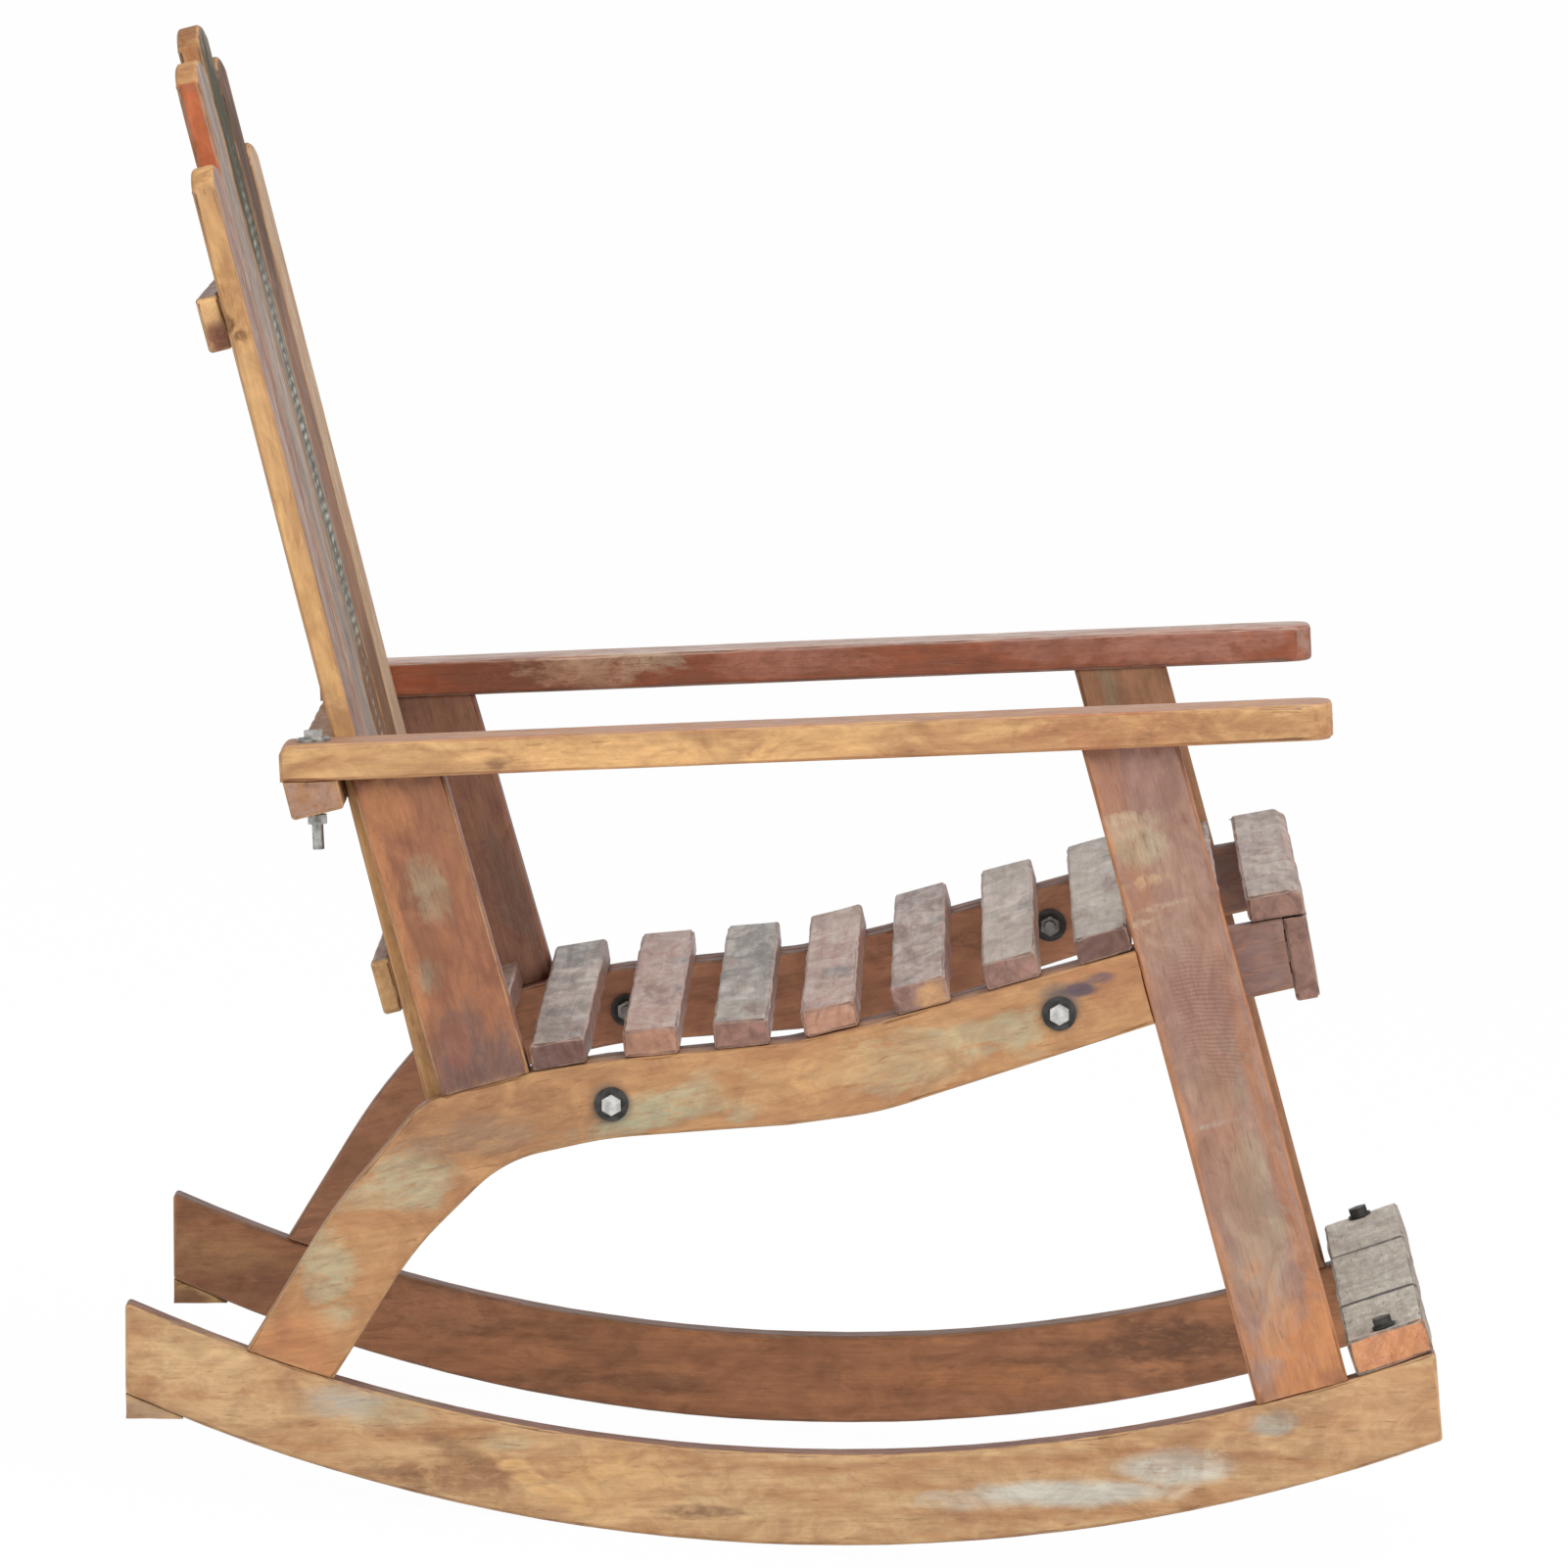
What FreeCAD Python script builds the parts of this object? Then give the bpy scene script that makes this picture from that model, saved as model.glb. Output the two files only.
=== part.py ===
import FreeCAD, Part
import Sketcher
import os
import re

# Outdoor rocking chair of reclaimed boards.
# +Z is up and the chair faces -Y. The origin is on the floor under the middle.
# Places along the chair are given as a reach, forward of the rocker's tail,
# and a height, both measured while the chair is held level. The finished chair
# is then rolled back to where it rests by itself. The sitter's left is +X.

doc = FreeCAD.newDocument("rocking_chair")

# Driving dimensions, in millimetres, with angles in degrees

SIZES = {
    # Frame as a whole
    "chair_length": 923,
    "frame_width": 593,
    "board_thickness": 28,
    "board_ease": 3,
    "slip_gap": 0.3,
    # Roll back to the pose of rest, and how far the floor contact is behind the origin
    "rest_lean": 6.65,
    "contact_set": 49.6,
    # Rockers, two equal arcs one above the other
    "rocker_radius": 1222,
    "rocker_depth": 65,
    "rocker_low_set": 38.8,
    "rocker_toe_slant": 5.4,
    # Wedge blocks under the rocker tails
    "tail_block_drop": 18.5,
    "tail_block_tip": 1,
    "tail_block_inset": 3,
    # Backrest plane, through the rear faces of its slats
    "back_foot_set": 281.7,
    "back_foot_drop": 59,
    "back_lean": 14.2,
    "back_board": 17,
    "back_side_gap": 5,
    "back_slat_gap": 8.5,
    "back_slat_arch": 12,
    "back_centre_length": 797.5,
    "back_inner_length": 777,
    "back_outer_length": 707,
    "back_left_drop": 8.5,
    # Battens behind the back slats
    "batten_height": 40,
    "upper_batten_thickness": 17,
    "lower_batten_thickness": 14.3,
    "batten_inset": 4,
    "batten_bevel": 9,
    "upper_batten_rise": 580.5,
    "lower_batten_rise": 100,
    # Rear foot rail inside the frame, in front of the back slats
    "foot_rail_height": 38,
    "foot_rail_thickness": 20,
    # Arms
    "arm_rear_set": 389.3,
    "arm_rear_height": 539.3,
    "arm_slope": 2.4,
    "arm_length": 734,
    "arm_width": 52,
    "arm_thickness": 26,
    "arm_back_gap": 0.5,
    "arm_corner": 18,
    "arm_heel_round": 8,
    # Crossbar under the rear ends of the arms
    "crossbar_depth": 38,
    "crossbar_height": 28,
    # Rear posts
    "post_width": 64,
    "post_lean": 15.85,
    "post_back_gap": 7.3,
    "post_gap": 2,
    # Front legs
    "leg_width": 66.5,
    "leg_lean": 15,
    "leg_gap": 0.6,
    # Seat slats
    "slat_pitch": 63.6,
    "slat_width": 40,
    "slat_thickness": 19.5,
    "nose_width": 41,
    "nose_gap": 14.8,
    "nose_round": 9,
    "slat_end_gap": 0.5,
    # Height of the seat line at the posts, and its rise from corner to corner
    "heel_drop": 20.5,
    "heel_set": 14,
    "seat_back_height": 334,
    "hump_rise": 8.7,
    "dip_rise": 12.5,
    "slope_rise": 15.2,
    "knee_rise": 53.6,
    "front_rise": 19.2,
    # Depths of the side rails at the same corners
    "rail_depth_back": 62.4,
    "rail_depth_hump": 55.2,
    "rail_depth_dip": 58,
    "rail_depth_rise": 64.2,
    "rail_depth_knee": 55.6,
    "rail_depth_front": 50,
    # Rear leg, the lower end of the outer side rail
    "leg_bend_set": 353.3,
    "leg_bend_drop": 94.3,
    "leg_inner_set": 297.7,
    "leg_inner_drop": 125.4,
    "crook_set": 18.4,
    "rear_foot_back_set": 415.4,
    "rear_foot_front_set": 354.3,
    # Radii of the side rail's corners
    "seat_bend_radius": 110,
    "belly_bend_radius": 240,
    "heel_radius": 42,
    "leg_bend_radius": 380,
    "leg_inner_radius": 230,
    "crook_radius": 90,
    # Inner seat rails and the front apron
    "seat_rail_thickness": 20,
    "apron_thickness": 18,
    "apron_height": 60,
    # Footboard on the toes of the rockers
    "footboard_gap": 6.2,
    "footboard_run": 55,
    "footboard_thickness": 26.5,
    # M8 bolts with wide washers
    "bolt_diameter": 8,
    "bolt_clearance": 0.5,
    "head_across_flats": 13,
    "head_height": 5.3,
    "nut_height": 6.5,
    "washer_diameter": 24,
    "washer_thickness": 2,
    "side_bolt_length": 62,
    "side_bolt_rear_set": 57.2,
    "side_bolt_rear_drop": 31,
    "side_bolt_front_set": 52.8,
    "side_bolt_front_drop": 29.3,
    "side_bolt_left_shift": 3,
    "arm_bolt_length": 78,
    "arm_bolt_set": 23.7,
    # Hexagon coach screws of the footboard
    "coach_length": 50,
    "coach_washer_diameter": 17,
    "coach_washer_thickness": 1.6,
    # Dowels
    "dowel_diameter": 10,
    "dowel_reach": 24,
    "dowel_fit": 0.1,
    "slat_dowel_diameter": 8,
    "slat_dowel_sink": 18,
    "slat_dowel_rise": 12,
    "short_dowel_reach": 15,
    "apron_dowel_sink": 10,
    # Countersunk wood screws
    "screw_diameter": 4.5,
    "screw_head": 9,
    "screw_head_height": 3,
    "batten_screw_length": 32,
    "crossbar_screw_length": 54,
    "foot_screw_length": 34,
    "nail_diameter": 2.4,
    "nail_length": 34,
    "nail_end_share": 0.3,
    # Shares that put the dowels and screws along their joints
    "joint_near_share": 0.27,
    "joint_far_share": 0.73,
}

sheet = doc.addObject("Spreadsheet::Sheet", "Sizes")
for row, (alias, value) in enumerate(SIZES.items(), start=1):
    sheet.set(f"A{row}", alias.replace("_", " "))
    sheet.set(f"B{row}", str(value))
    sheet.setAlias(f"B{row}", alias)

# Worked-out places live beside the sheet, each bound to it by its expression.

places = doc.addObject("App::VarSet", "Places")
HOME = {alias: "Sizes." + alias for alias in SIZES}
doc.recompute()


def bound(text):
    """Write an expression with its sheet and place names in full."""
    return re.sub(r"[a-z_][a-z_0-9]*", lambda word: HOME.get(word[0], word[0]), text)


def place(name, text):
    """Keep a worked-out length, ratio or angle under a name of its own."""
    places.addProperty("App::PropertyFloat", name, "Places", "")
    places.setExpression(name, bound(text))
    HOME[name] = "Places." + name
    places.recompute()
    return name


def value(text):
    """Number that an expression gives now, for a sketch's first drawing."""
    return float(places.evalExpression(bound(text)))


def crossing(name, steep, shallow):
    """Where a leaning edge meets a nearly level one.

    The steep edge is (reach, height, tangent of its lean back from upright).
    The shallow edge is (reach, height, slope).
    """
    reach, height, lean = steep
    start, level, slope = shallow
    along = f"({level} - {slope} * ({start}))"
    x = place(
        name + "_reach",
        f"({reach} + {lean} * ({height} - {along})) / (1 + {lean} * {slope})",
    )
    z = place(name + "_height", f"{along} + {slope} * {x}")
    return x, z


def rocker_edge(reach, rise="0"):
    """Height of the rocker's lower arc at a reach, or of an edge above it."""
    fall = f"sqrt(rocker_radius^2 - ({reach} - rocker_low_reach)^2)"
    return f"(rocker_radius - {fall} + {rise})"


def slope_between(name, first, second):
    return place(name, f"({second[1]} - {first[1]}) / ({second[0]} - {first[0]})")


# Lowest point of the rocker arcs, and what stands a set distance behind it

place("rocker_low_reach", "chair_length / 2 + rocker_low_set")
STANDING = [
    "back_foot",
    "arm_rear",
    "leg_bend",
    "leg_inner",
    "rear_foot_back",
    "rear_foot_front",
]
for name in STANDING:
    place(name + "_reach", f"rocker_low_reach - {name}_set")

# Heights set below the seat line at the posts, and the corners of that line,
# each risen from the corner behind it

for name in ["heel", "back_foot", "leg_bend", "leg_inner"]:
    place(name + "_height", f"seat_back_height - {name}_drop")
SEAT_RISES = [
    ("seat_back", "seat_hump", "hump_rise"),
    ("seat_hump", "seat_dip", "dip_rise"),
    ("seat_dip", "seat_rise", "slope_rise"),
    ("seat_rise", "seat_knee", "knee_rise"),
    ("seat_knee", "seat_front", "front_rise"),
]
for behind, corner, rise in SEAT_RISES:
    place(corner + "_height", f"{behind}_height + {rise}")

# Directions of the leaning boards

back_tan = place("back_tan", "tan(back_lean)")
post_tan = place("post_tan", "tan(post_lean)")
leg_tan = place("leg_tan", "tan(leg_lean)")
arm_tan = place("arm_tan", "tan(arm_slope)")

# Backrest plane, arm line and crossbar

ARM_LINE = ("arm_rear_reach", "arm_rear_height", arm_tan)
BACK_REAR = ("back_foot_reach", "back_foot_height", back_tan)
back_front_reach = place("back_front_reach", "back_foot_reach + back_board / cos(back_lean)")
BACK_FRONT = (back_front_reach, "back_foot_height", back_tan)
bar_front_top = crossing("bar_front_top", BACK_REAR, ARM_LINE)
bar_rear_line = (
    place("bar_rear_line", "back_foot_reach - crossbar_depth / cos(back_lean)"),
    "back_foot_height",
    back_tan,
)
bar_rear_top = crossing("bar_rear_top", bar_rear_line, ARM_LINE)
bar_rear_low = (
    place("bar_rear_low_reach", "bar_rear_top_reach + crossbar_height * sin(back_lean)"),
    place("bar_rear_low_height", "bar_rear_top_height - crossbar_height * cos(back_lean)"),
)
bar_front_low = (
    place("bar_front_low_reach", "bar_rear_low_reach + crossbar_depth * cos(back_lean)"),
    place("bar_front_low_height", "bar_rear_low_height + crossbar_depth * sin(back_lean)"),
)

# Rear post, set just in front of the crossbar

post_rear_line = (
    place("post_rear_line", "bar_front_top_reach + post_back_gap"),
    "bar_front_top_height",
    post_tan,
)
post_front_line = (
    place("post_front_line", "post_rear_line + post_width / cos(post_lean)"),
    "bar_front_top_height",
    post_tan,
)

# Corners of the seat line, which the slats and both pairs of rails share

seat_back = (
    place(
        "seat_back_reach",
        "post_front_line + post_tan * (bar_front_top_height - seat_back_height)",
    ),
    "seat_back_height",
)
heel = (
    place(
        "heel_reach",
        "post_rear_line + post_tan * (bar_front_top_height - heel_height) - heel_set",
    ),
    "heel_height",
)
slat_first = place("slat_first", "seat_back_reach + post_gap")


def slat_reach(count):
    """Reach of the rear edge of a seat slat, counted from the first at the posts."""
    return f"(slat_first + slat_pitch * {count - 1})"


slat_space = place("slat_space", "slat_pitch - slat_width")


def seat_corner(name, count):
    reach = place(name + "_reach", f"{slat_reach(count)} - slat_space / 2")
    return reach, name + "_height"


seat_hump = seat_corner("seat_hump", 2)
seat_dip = seat_corner("seat_dip", 4)
seat_rise = seat_corner("seat_rise", 5)
seat_knee = seat_corner("seat_knee", 8)
seat_front = (
    place("seat_front_reach", f"{slat_reach(8)} + slat_width + nose_gap + nose_width"),
    "seat_front_height",
)
SEAT_CORNERS = [heel, seat_back, seat_hump, seat_dip, seat_rise, seat_knee, seat_front]
STRETCHES = ["heel", "rear", "hump", "dip", "main", "front"]

# Each straight stretch of the seat line keeps its slope, sine, cosine and angle.

SEAT = {}
for stretch, first, second in zip(STRETCHES, SEAT_CORNERS, SEAT_CORNERS[1:]):
    slope = slope_between(f"{stretch}_slope", first, second)
    place(f"{stretch}_cos", f"1 / sqrt(1 + {slope}^2)")
    place(f"{stretch}_sin", f"{slope} * {stretch}_cos")
    place(f"{stretch}_angle", f"atan({slope}) / 1 deg")
    SEAT[stretch] = (first[0], first[1], slope)

# Lower corners of the rails, each below a corner of the seat line

belly_back = (
    place("belly_back_reach", "seat_back_reach - crook_set"),
    place("belly_back", "seat_back_height - rail_depth_back"),
)
belly_hump = (seat_hump[0], place("belly_hump", "seat_hump_height - rail_depth_hump"))
belly_dip = (seat_dip[0], place("belly_dip", "seat_dip_height - rail_depth_dip"))
belly_rise = (seat_rise[0], place("belly_rise", "seat_rise_height - rail_depth_rise"))
belly_knee = (seat_knee[0], place("belly_knee", "seat_knee_height - rail_depth_knee"))

# Apron square to the front stretch, and the ends of the inner rails on it

apron_rear = (
    place("apron_rear_reach", "seat_front_reach - apron_thickness * front_cos"),
    place("apron_rear_height", "seat_front_height - apron_thickness * front_sin"),
)
apron_rear_low = (
    place("apron_rear_low_reach", "apron_rear_reach + apron_height * front_sin"),
    place("apron_rear_low_height", "apron_rear_height - apron_height * front_cos"),
)
apron_front_low = (
    place("apron_front_low_reach", "seat_front_reach + apron_height * front_sin"),
    place("apron_front_low_height", "seat_front_height - apron_height * front_cos"),
)
belly_front = (
    place("belly_front_reach", "apron_rear_reach + rail_depth_front * front_sin"),
    place("belly_front", "apron_rear_height - rail_depth_front * front_cos"),
)

# Front leg, just ahead of the last full slat, down to the rocker's upper arc

leg_corner = place("leg_corner", f"{slat_reach(7)} + slat_width * main_cos + leg_gap")
leg_corner_height = place(
    "leg_corner_height", "seat_rise_height + main_slope * (leg_corner - seat_rise_reach)"
)
leg_rear_line = (leg_corner, leg_corner_height, leg_tan)
leg_front_line = (
    place("leg_front_line", "leg_corner + leg_width / cos(leg_lean)"),
    leg_corner_height,
    leg_tan,
)
leg_top_rear = crossing("leg_top_rear", leg_rear_line, ARM_LINE)
leg_top_front = crossing("leg_top_front", leg_front_line, ARM_LINE)


def rocker_foot(name, line):
    """Where a leg's edge line meets the rocker's upper arc.

    The edge is followed down from the arc's centre height until it is one
    radius away from the centre, which is the root of a quadratic.
    """
    reach, height, lean = line
    centre = "(rocker_radius + rocker_depth)"
    shift = place(name + "_shift", f"{reach} - rocker_low_reach + ({height} - {centre}) * {lean}")
    root = f"sqrt(rocker_radius^2 * (1 + {lean}^2) - {shift}^2)"
    drop = place(name + "_drop", f"({root} - {shift} * {lean}) / (1 + {lean}^2)")
    x = place(name + "_reach", f"rocker_low_reach + {shift} + {drop} * {lean}")
    z = place(name + "_height", f"{centre} - {drop}")
    return x, z


leg_foot_rear = rocker_foot("leg_foot_rear", leg_rear_line)
leg_foot_front = rocker_foot("leg_foot_front", leg_front_line)
rail_top_end = crossing("rail_top_end", leg_rear_line, SEAT["main"])
belly_front_slope = slope_between("belly_front_slope", belly_knee, belly_front)
rail_low_end = crossing("rail_low_end", leg_rear_line, (*belly_knee, belly_front_slope))

# Rear leg's foot on the rocker, and the rear post's foot on the side rail

rear_foot_back = (
    "rear_foot_back_reach",
    place("rear_foot_back_height", rocker_edge("rear_foot_back_reach", "rocker_depth")),
)
rear_foot_front = (
    "rear_foot_front_reach",
    place("rear_foot_front_height", rocker_edge("rear_foot_front_reach", "rocker_depth")),
)
post_foot_rear = crossing("post_foot_rear", post_rear_line, SEAT["heel"])
post_top_rear = crossing("post_top_rear", post_rear_line, ARM_LINE)
post_top_front = crossing("post_top_front", post_front_line, ARM_LINE)
rail_rear_top = crossing("rail_rear_top", BACK_FRONT, SEAT["heel"])
belly_heel_slope = slope_between("belly_heel_slope", belly_hump, belly_back)
rail_rear_low = crossing("rail_rear_low", BACK_FRONT, (*belly_back, belly_heel_slope))

# Sideways places

frame_half = place("frame_half", "frame_width / 2")
board_side = place("board_side", "frame_half - board_thickness / 2")
inner_face = place("inner_face", "frame_half - board_thickness")
back_width = place("back_width", "2 * (inner_face - back_side_gap)")
place("back_slat_width", "(back_width - 4 * back_slat_gap) / 5")
arm_side = place("arm_side", "back_width / 2 + arm_back_gap + arm_width / 2")
seat_rail_side = place("seat_rail_side", "inner_face - seat_rail_thickness / 2")
rail_inner_face = place("rail_inner_face", "inner_face - seat_rail_thickness")
SIDES = {"left": "", "right": "-"}

# Builders of the boards

nodes = []


def body_plane(body, role):
    return [item for item in body.Origin.OriginFeatures if item.Role == role][0]


def closed_sketch(body, name, plane, corners, arcs):
    """Sketch of a closed outline on one of the body's own planes.

    corners are pairs of expressions. arcs gives, for the segment that starts
    at a corner, its radius and a point that it passes.
    """
    sketch = body.newObject("Sketcher::SketchObject", name)
    sketch.AttachmentSupport = [(body_plane(body, plane), "")]
    sketch.MapMode = "FlatFace"
    drawn = [FreeCAD.Vector(value(x), value(y), 0) for x, y in corners]
    count = len(drawn)
    ends = []
    for index in range(count):
        start, end = drawn[index], drawn[(index + 1) % count]
        order = (1, 2)
        if index in arcs:
            through = arcs[index][1]
            middle = FreeCAD.Vector(value(through[0]), value(through[1]), 0)
            # A sketch keeps its arcs counterclockwise, so one may run backwards.
            if (middle - start).cross(end - middle).z < 0:
                start, end, order = end, start, (2, 1)
            sketch.addGeometry(Part.Arc(start, middle, end), False)
        else:
            sketch.addGeometry(Part.LineSegment(start, end), False)
        ends.append(order)
    for index in range(count):
        follower = (index + 1) % count
        sketch.addConstraint(
            Sketcher.Constraint("Coincident", index, ends[index][1], follower, ends[follower][0])
        )
    for index, (corner, spot) in enumerate(zip(corners, drawn)):
        for kind, text, number in zip(("DistanceX", "DistanceY"), corner, spot):
            rule = sketch.addConstraint(
                Sketcher.Constraint(kind, -1, 1, index, ends[index][0], number)
            )
            sketch.setExpression(f"Constraints[{rule}]", bound(text))
    for index, (radius, through) in arcs.items():
        rule = sketch.addConstraint(Sketcher.Constraint("Radius", index, value(radius)))
        sketch.setExpression(f"Constraints[{rule}]", bound(radius))
    return sketch


def padded(body, sketch, length, symmetric=True):
    pad = body.newObject("PartDesign::Pad", sketch.Name + "_pad")
    pad.Profile = sketch
    pad.setExpression("Length", bound(length))
    if symmetric:
        pad.SideType = "Symmetric"
    body.Tip = pad
    doc.recompute()
    return pad


def rounded(body, edges, radius, name):
    """Fillet named edges of the body's last feature."""
    last = body.Tip
    fillet = body.newObject("PartDesign::Fillet", name)
    fillet.Base = (last, edges)
    fillet.setExpression("Radius", bound(radius))
    body.Tip = fillet
    doc.recompute()
    return fillet


def edge_names(shape, wanted):
    return [f"Edge{index}" for index, edge in enumerate(shape.Edges, 1) if wanted(edge)]


def edge_middle(edge):
    return edge.valueAt((edge.FirstParameter + edge.LastParameter) / 2)


NEAR = 0.01


def corner_edges(shape, corners):
    """Edges along X that pass through given corners of a side outline."""
    spots = [(value(x), value(y)) for x, y in corners]

    def wanted(edge):
        first, last = edge.Vertexes[0].Point, edge.Vertexes[-1].Point
        level = abs(first.y - last.y) < NEAR and abs(first.z - last.z) < NEAR
        return level and any(
            abs(first.y - y) < NEAR and abs(first.z - z) < NEAR for y, z in spots
        )

    return edge_names(shape, wanted)


def on_joint(point, joints):
    """True for a point on a joint line of a side outline."""
    for (y1, z1), (y2, z2) in joints:
        run, rise = y2 - y1, z2 - z1
        off = (point.y - y1) * rise - (point.z - z1) * run
        if abs(off) < NEAR * FreeCAD.Vector(run, rise, 0).Length:
            return True
    return False


def side_view(reach, height):
    """Sketch coordinates, on the YZ plane, of a reach and a height."""
    return f"rocker_low_reach - ({reach})", height


def board(name, corners, thickness, rounds=(), joints=(), arcs=None, whole=False):
    """Board cut to a side outline, thickness wide across the chair.

    rounds lists (radius, corner indexes). joints lists the outline segments
    that butt on another board, whose edges stay sharp. A whole board has its
    other edges eased all round, and any other only along its two faces.
    """
    body = doc.addObject("PartDesign::Body", name)
    sketch = closed_sketch(body, name + "_outline", "YZ_Plane", corners, arcs or {})
    pad = padded(body, sketch, thickness)
    for number, (radius, indexes) in enumerate(rounds):
        edges = corner_edges(pad.Shape, [corners[index] for index in indexes])
        pad = rounded(body, edges, radius, f"{name}_round_{number}")
    spots = [(value(x), value(y)) for x, y in corners]
    lines = [(spots[index], spots[(index + 1) % len(spots)]) for index in joints]
    side = value(thickness) / 2

    def eased(edge):
        middle = edge_middle(edge)
        on_face = abs(abs(middle.x) - side) < NEAR
        return (on_face or whole) and not on_joint(middle, lines)

    edges = edge_names(pad.Shape, eased)
    if edges:
        rounded(body, edges, "board_ease", name + "_ease")
    return body


# Rolling turns the level chair about the centre of its rocker arcs.

place("rest_back", "contact_set - rocker_radius * sin(rest_lean)")
place("rest_up", "rocker_radius * (1 - cos(rest_lean))")
ROLLED = "placement(vector(0; rest_back; rest_up); rotation(vector(1; 0; 0); 0 - rest_lean))"


def at_side(body, side="0"):
    """Put a board, drawn in side view, at its place across the rolled chair."""
    level = f"placement(vector({side}; 0; 0); rotation(vector(1; 0; 0); 0))"
    body.setExpression("Placement", bound(f"{ROLLED} * {level}"))


# Points, axes and round pieces for the fasteners


def moved(point, axis, distance):
    """Point moved along an axis: left, right, or up with a lean back in degrees."""
    side, reach, height = point
    if axis in SIDES:
        sign = "-" if axis == "right" else "+"
        return f"({side}) {sign} ({distance})", reach, height
    return (
        side,
        f"({reach}) - ({distance}) * sin({axis})",
        f"({height}) + ({distance}) * cos({axis})",
    )


def stood(item, point, axis):
    """Stand a primitive on a point, with its height along an axis."""
    side, reach, height = point
    turns = {"left": "rotation(vector(0; 1; 0); 90)", "right": "rotation(vector(0; 1; 0); -90)"}
    turn = turns.get(axis, f"rotation(vector(1; 0; 0); 0 - ({axis}))")
    spot = f"vector({side}; rocker_low_reach - ({reach}); {height})"
    item.setExpression("Placement", bound(f"{ROLLED} * placement({spot}; {turn})"))
    return item


def rod(name, point, axis, length, diameter):
    item = doc.addObject("Part::Cylinder", name)
    item.setExpression("Radius", bound(f"({diameter}) / 2"))
    item.setExpression("Height", bound(length))
    return stood(item, point, axis)


def hexagon(name, point, axis, length):
    item = doc.addObject("Part::Prism", name)
    item.Polygon = 6
    item.setExpression("Circumradius", bound("head_across_flats / sqrt(3)"))
    item.setExpression("Height", bound(length))
    return stood(item, point, axis)


def joined(name, base, tool, kind="Part::Fuse"):
    item = doc.addObject(kind, name)
    item.Base = base
    item.Tool = tool
    return item


groups = {}
drills = {}


def kept(group, item):
    groups.setdefault(group, []).append(item)


def drilled_for(boards, item):
    for name in boards:
        drills.setdefault(name, []).append(item)


def bolt(group, name, seat, axis, length, boards):
    """Hexagon bolt whose head sits on the seat point, with its clearance hole."""
    tip = moved(seat, axis, f"0 - ({length})")
    shank = rod(name + "_shank", tip, axis, f"{length} + head_height / 2", "bolt_diameter")
    head = hexagon(name + "_head", seat, axis, "head_height")
    kept(group, joined(name, head, shank))
    hole = rod(name + "_hole", tip, axis, length, "bolt_diameter + 2 * bolt_clearance")
    drilled_for(boards, hole)


def ring(group, name, point, axis, thickness, diameter, outer=None):
    """Washer, or with an outer piece given a nut, round the bolt's axis."""
    disc = outer or rod(name + "_disc", point, axis, thickness, diameter)
    bore = rod(name + "_bore", point, axis, thickness, "bolt_diameter + bolt_clearance")
    kept(group, joined(name, disc, bore, "Part::Cut"))


def dowel(group, name, point, axis, below, above, diameter, boards):
    """Dowel through a joint: below and above are its lengths either side."""
    foot = moved(point, axis, f"0 - ({below})")
    kept(group, rod(name, foot, axis, f"{below} + {above}", diameter))
    start = moved(point, axis, f"0 - ({below}) - slip_gap")
    reach = f"{below} + {above} + 2 * slip_gap"
    drilled_for(boards, rod(name + "_hole", start, axis, reach, f"{diameter} + 2 * dowel_fit"))


def cone(name, point, axis, length, low, high):
    item = doc.addObject("Part::Cone", name)
    item.setExpression("Radius1", bound(f"({low}) / 2"))
    item.setExpression("Radius2", bound(f"({high}) / 2"))
    item.setExpression("Height", bound(length))
    return stood(item, point, axis)


def screw(group, name, seat, axis, length, boards, diameter="screw_diameter"):
    """Countersunk screw, its head flush with the seat point's face."""
    tip = moved(seat, axis, f"0 - ({length})")
    neck = moved(seat, axis, "0 - screw_head_height")
    for ending, spare in (("", "0"), ("_hole", "2 * dowel_fit")):
        shank = rod(name + ending + "_shank", tip, axis, length, f"{diameter} + {spare}")
        wide = f"2 * {diameter} + {spare}"
        head = cone(name + ending + "_head", neck, axis, "screw_head_height", diameter, wide)
        item = joined(name + ending, head, shank)
        if ending:
            drilled_for(boards, item)
        else:
            kept(group, item)


# Wedge blocks under the rocker tails, ending where the rocker comes down to them

block_low = place("block_low", rocker_edge("0") + " - tail_block_drop")
block_run = place(
    "block_run",
    "rocker_low_reach - sqrt(rocker_radius^2"
    " - (rocker_radius - block_low - slip_gap - tail_block_tip)^2)",
)

# Boards of each side frame

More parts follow.
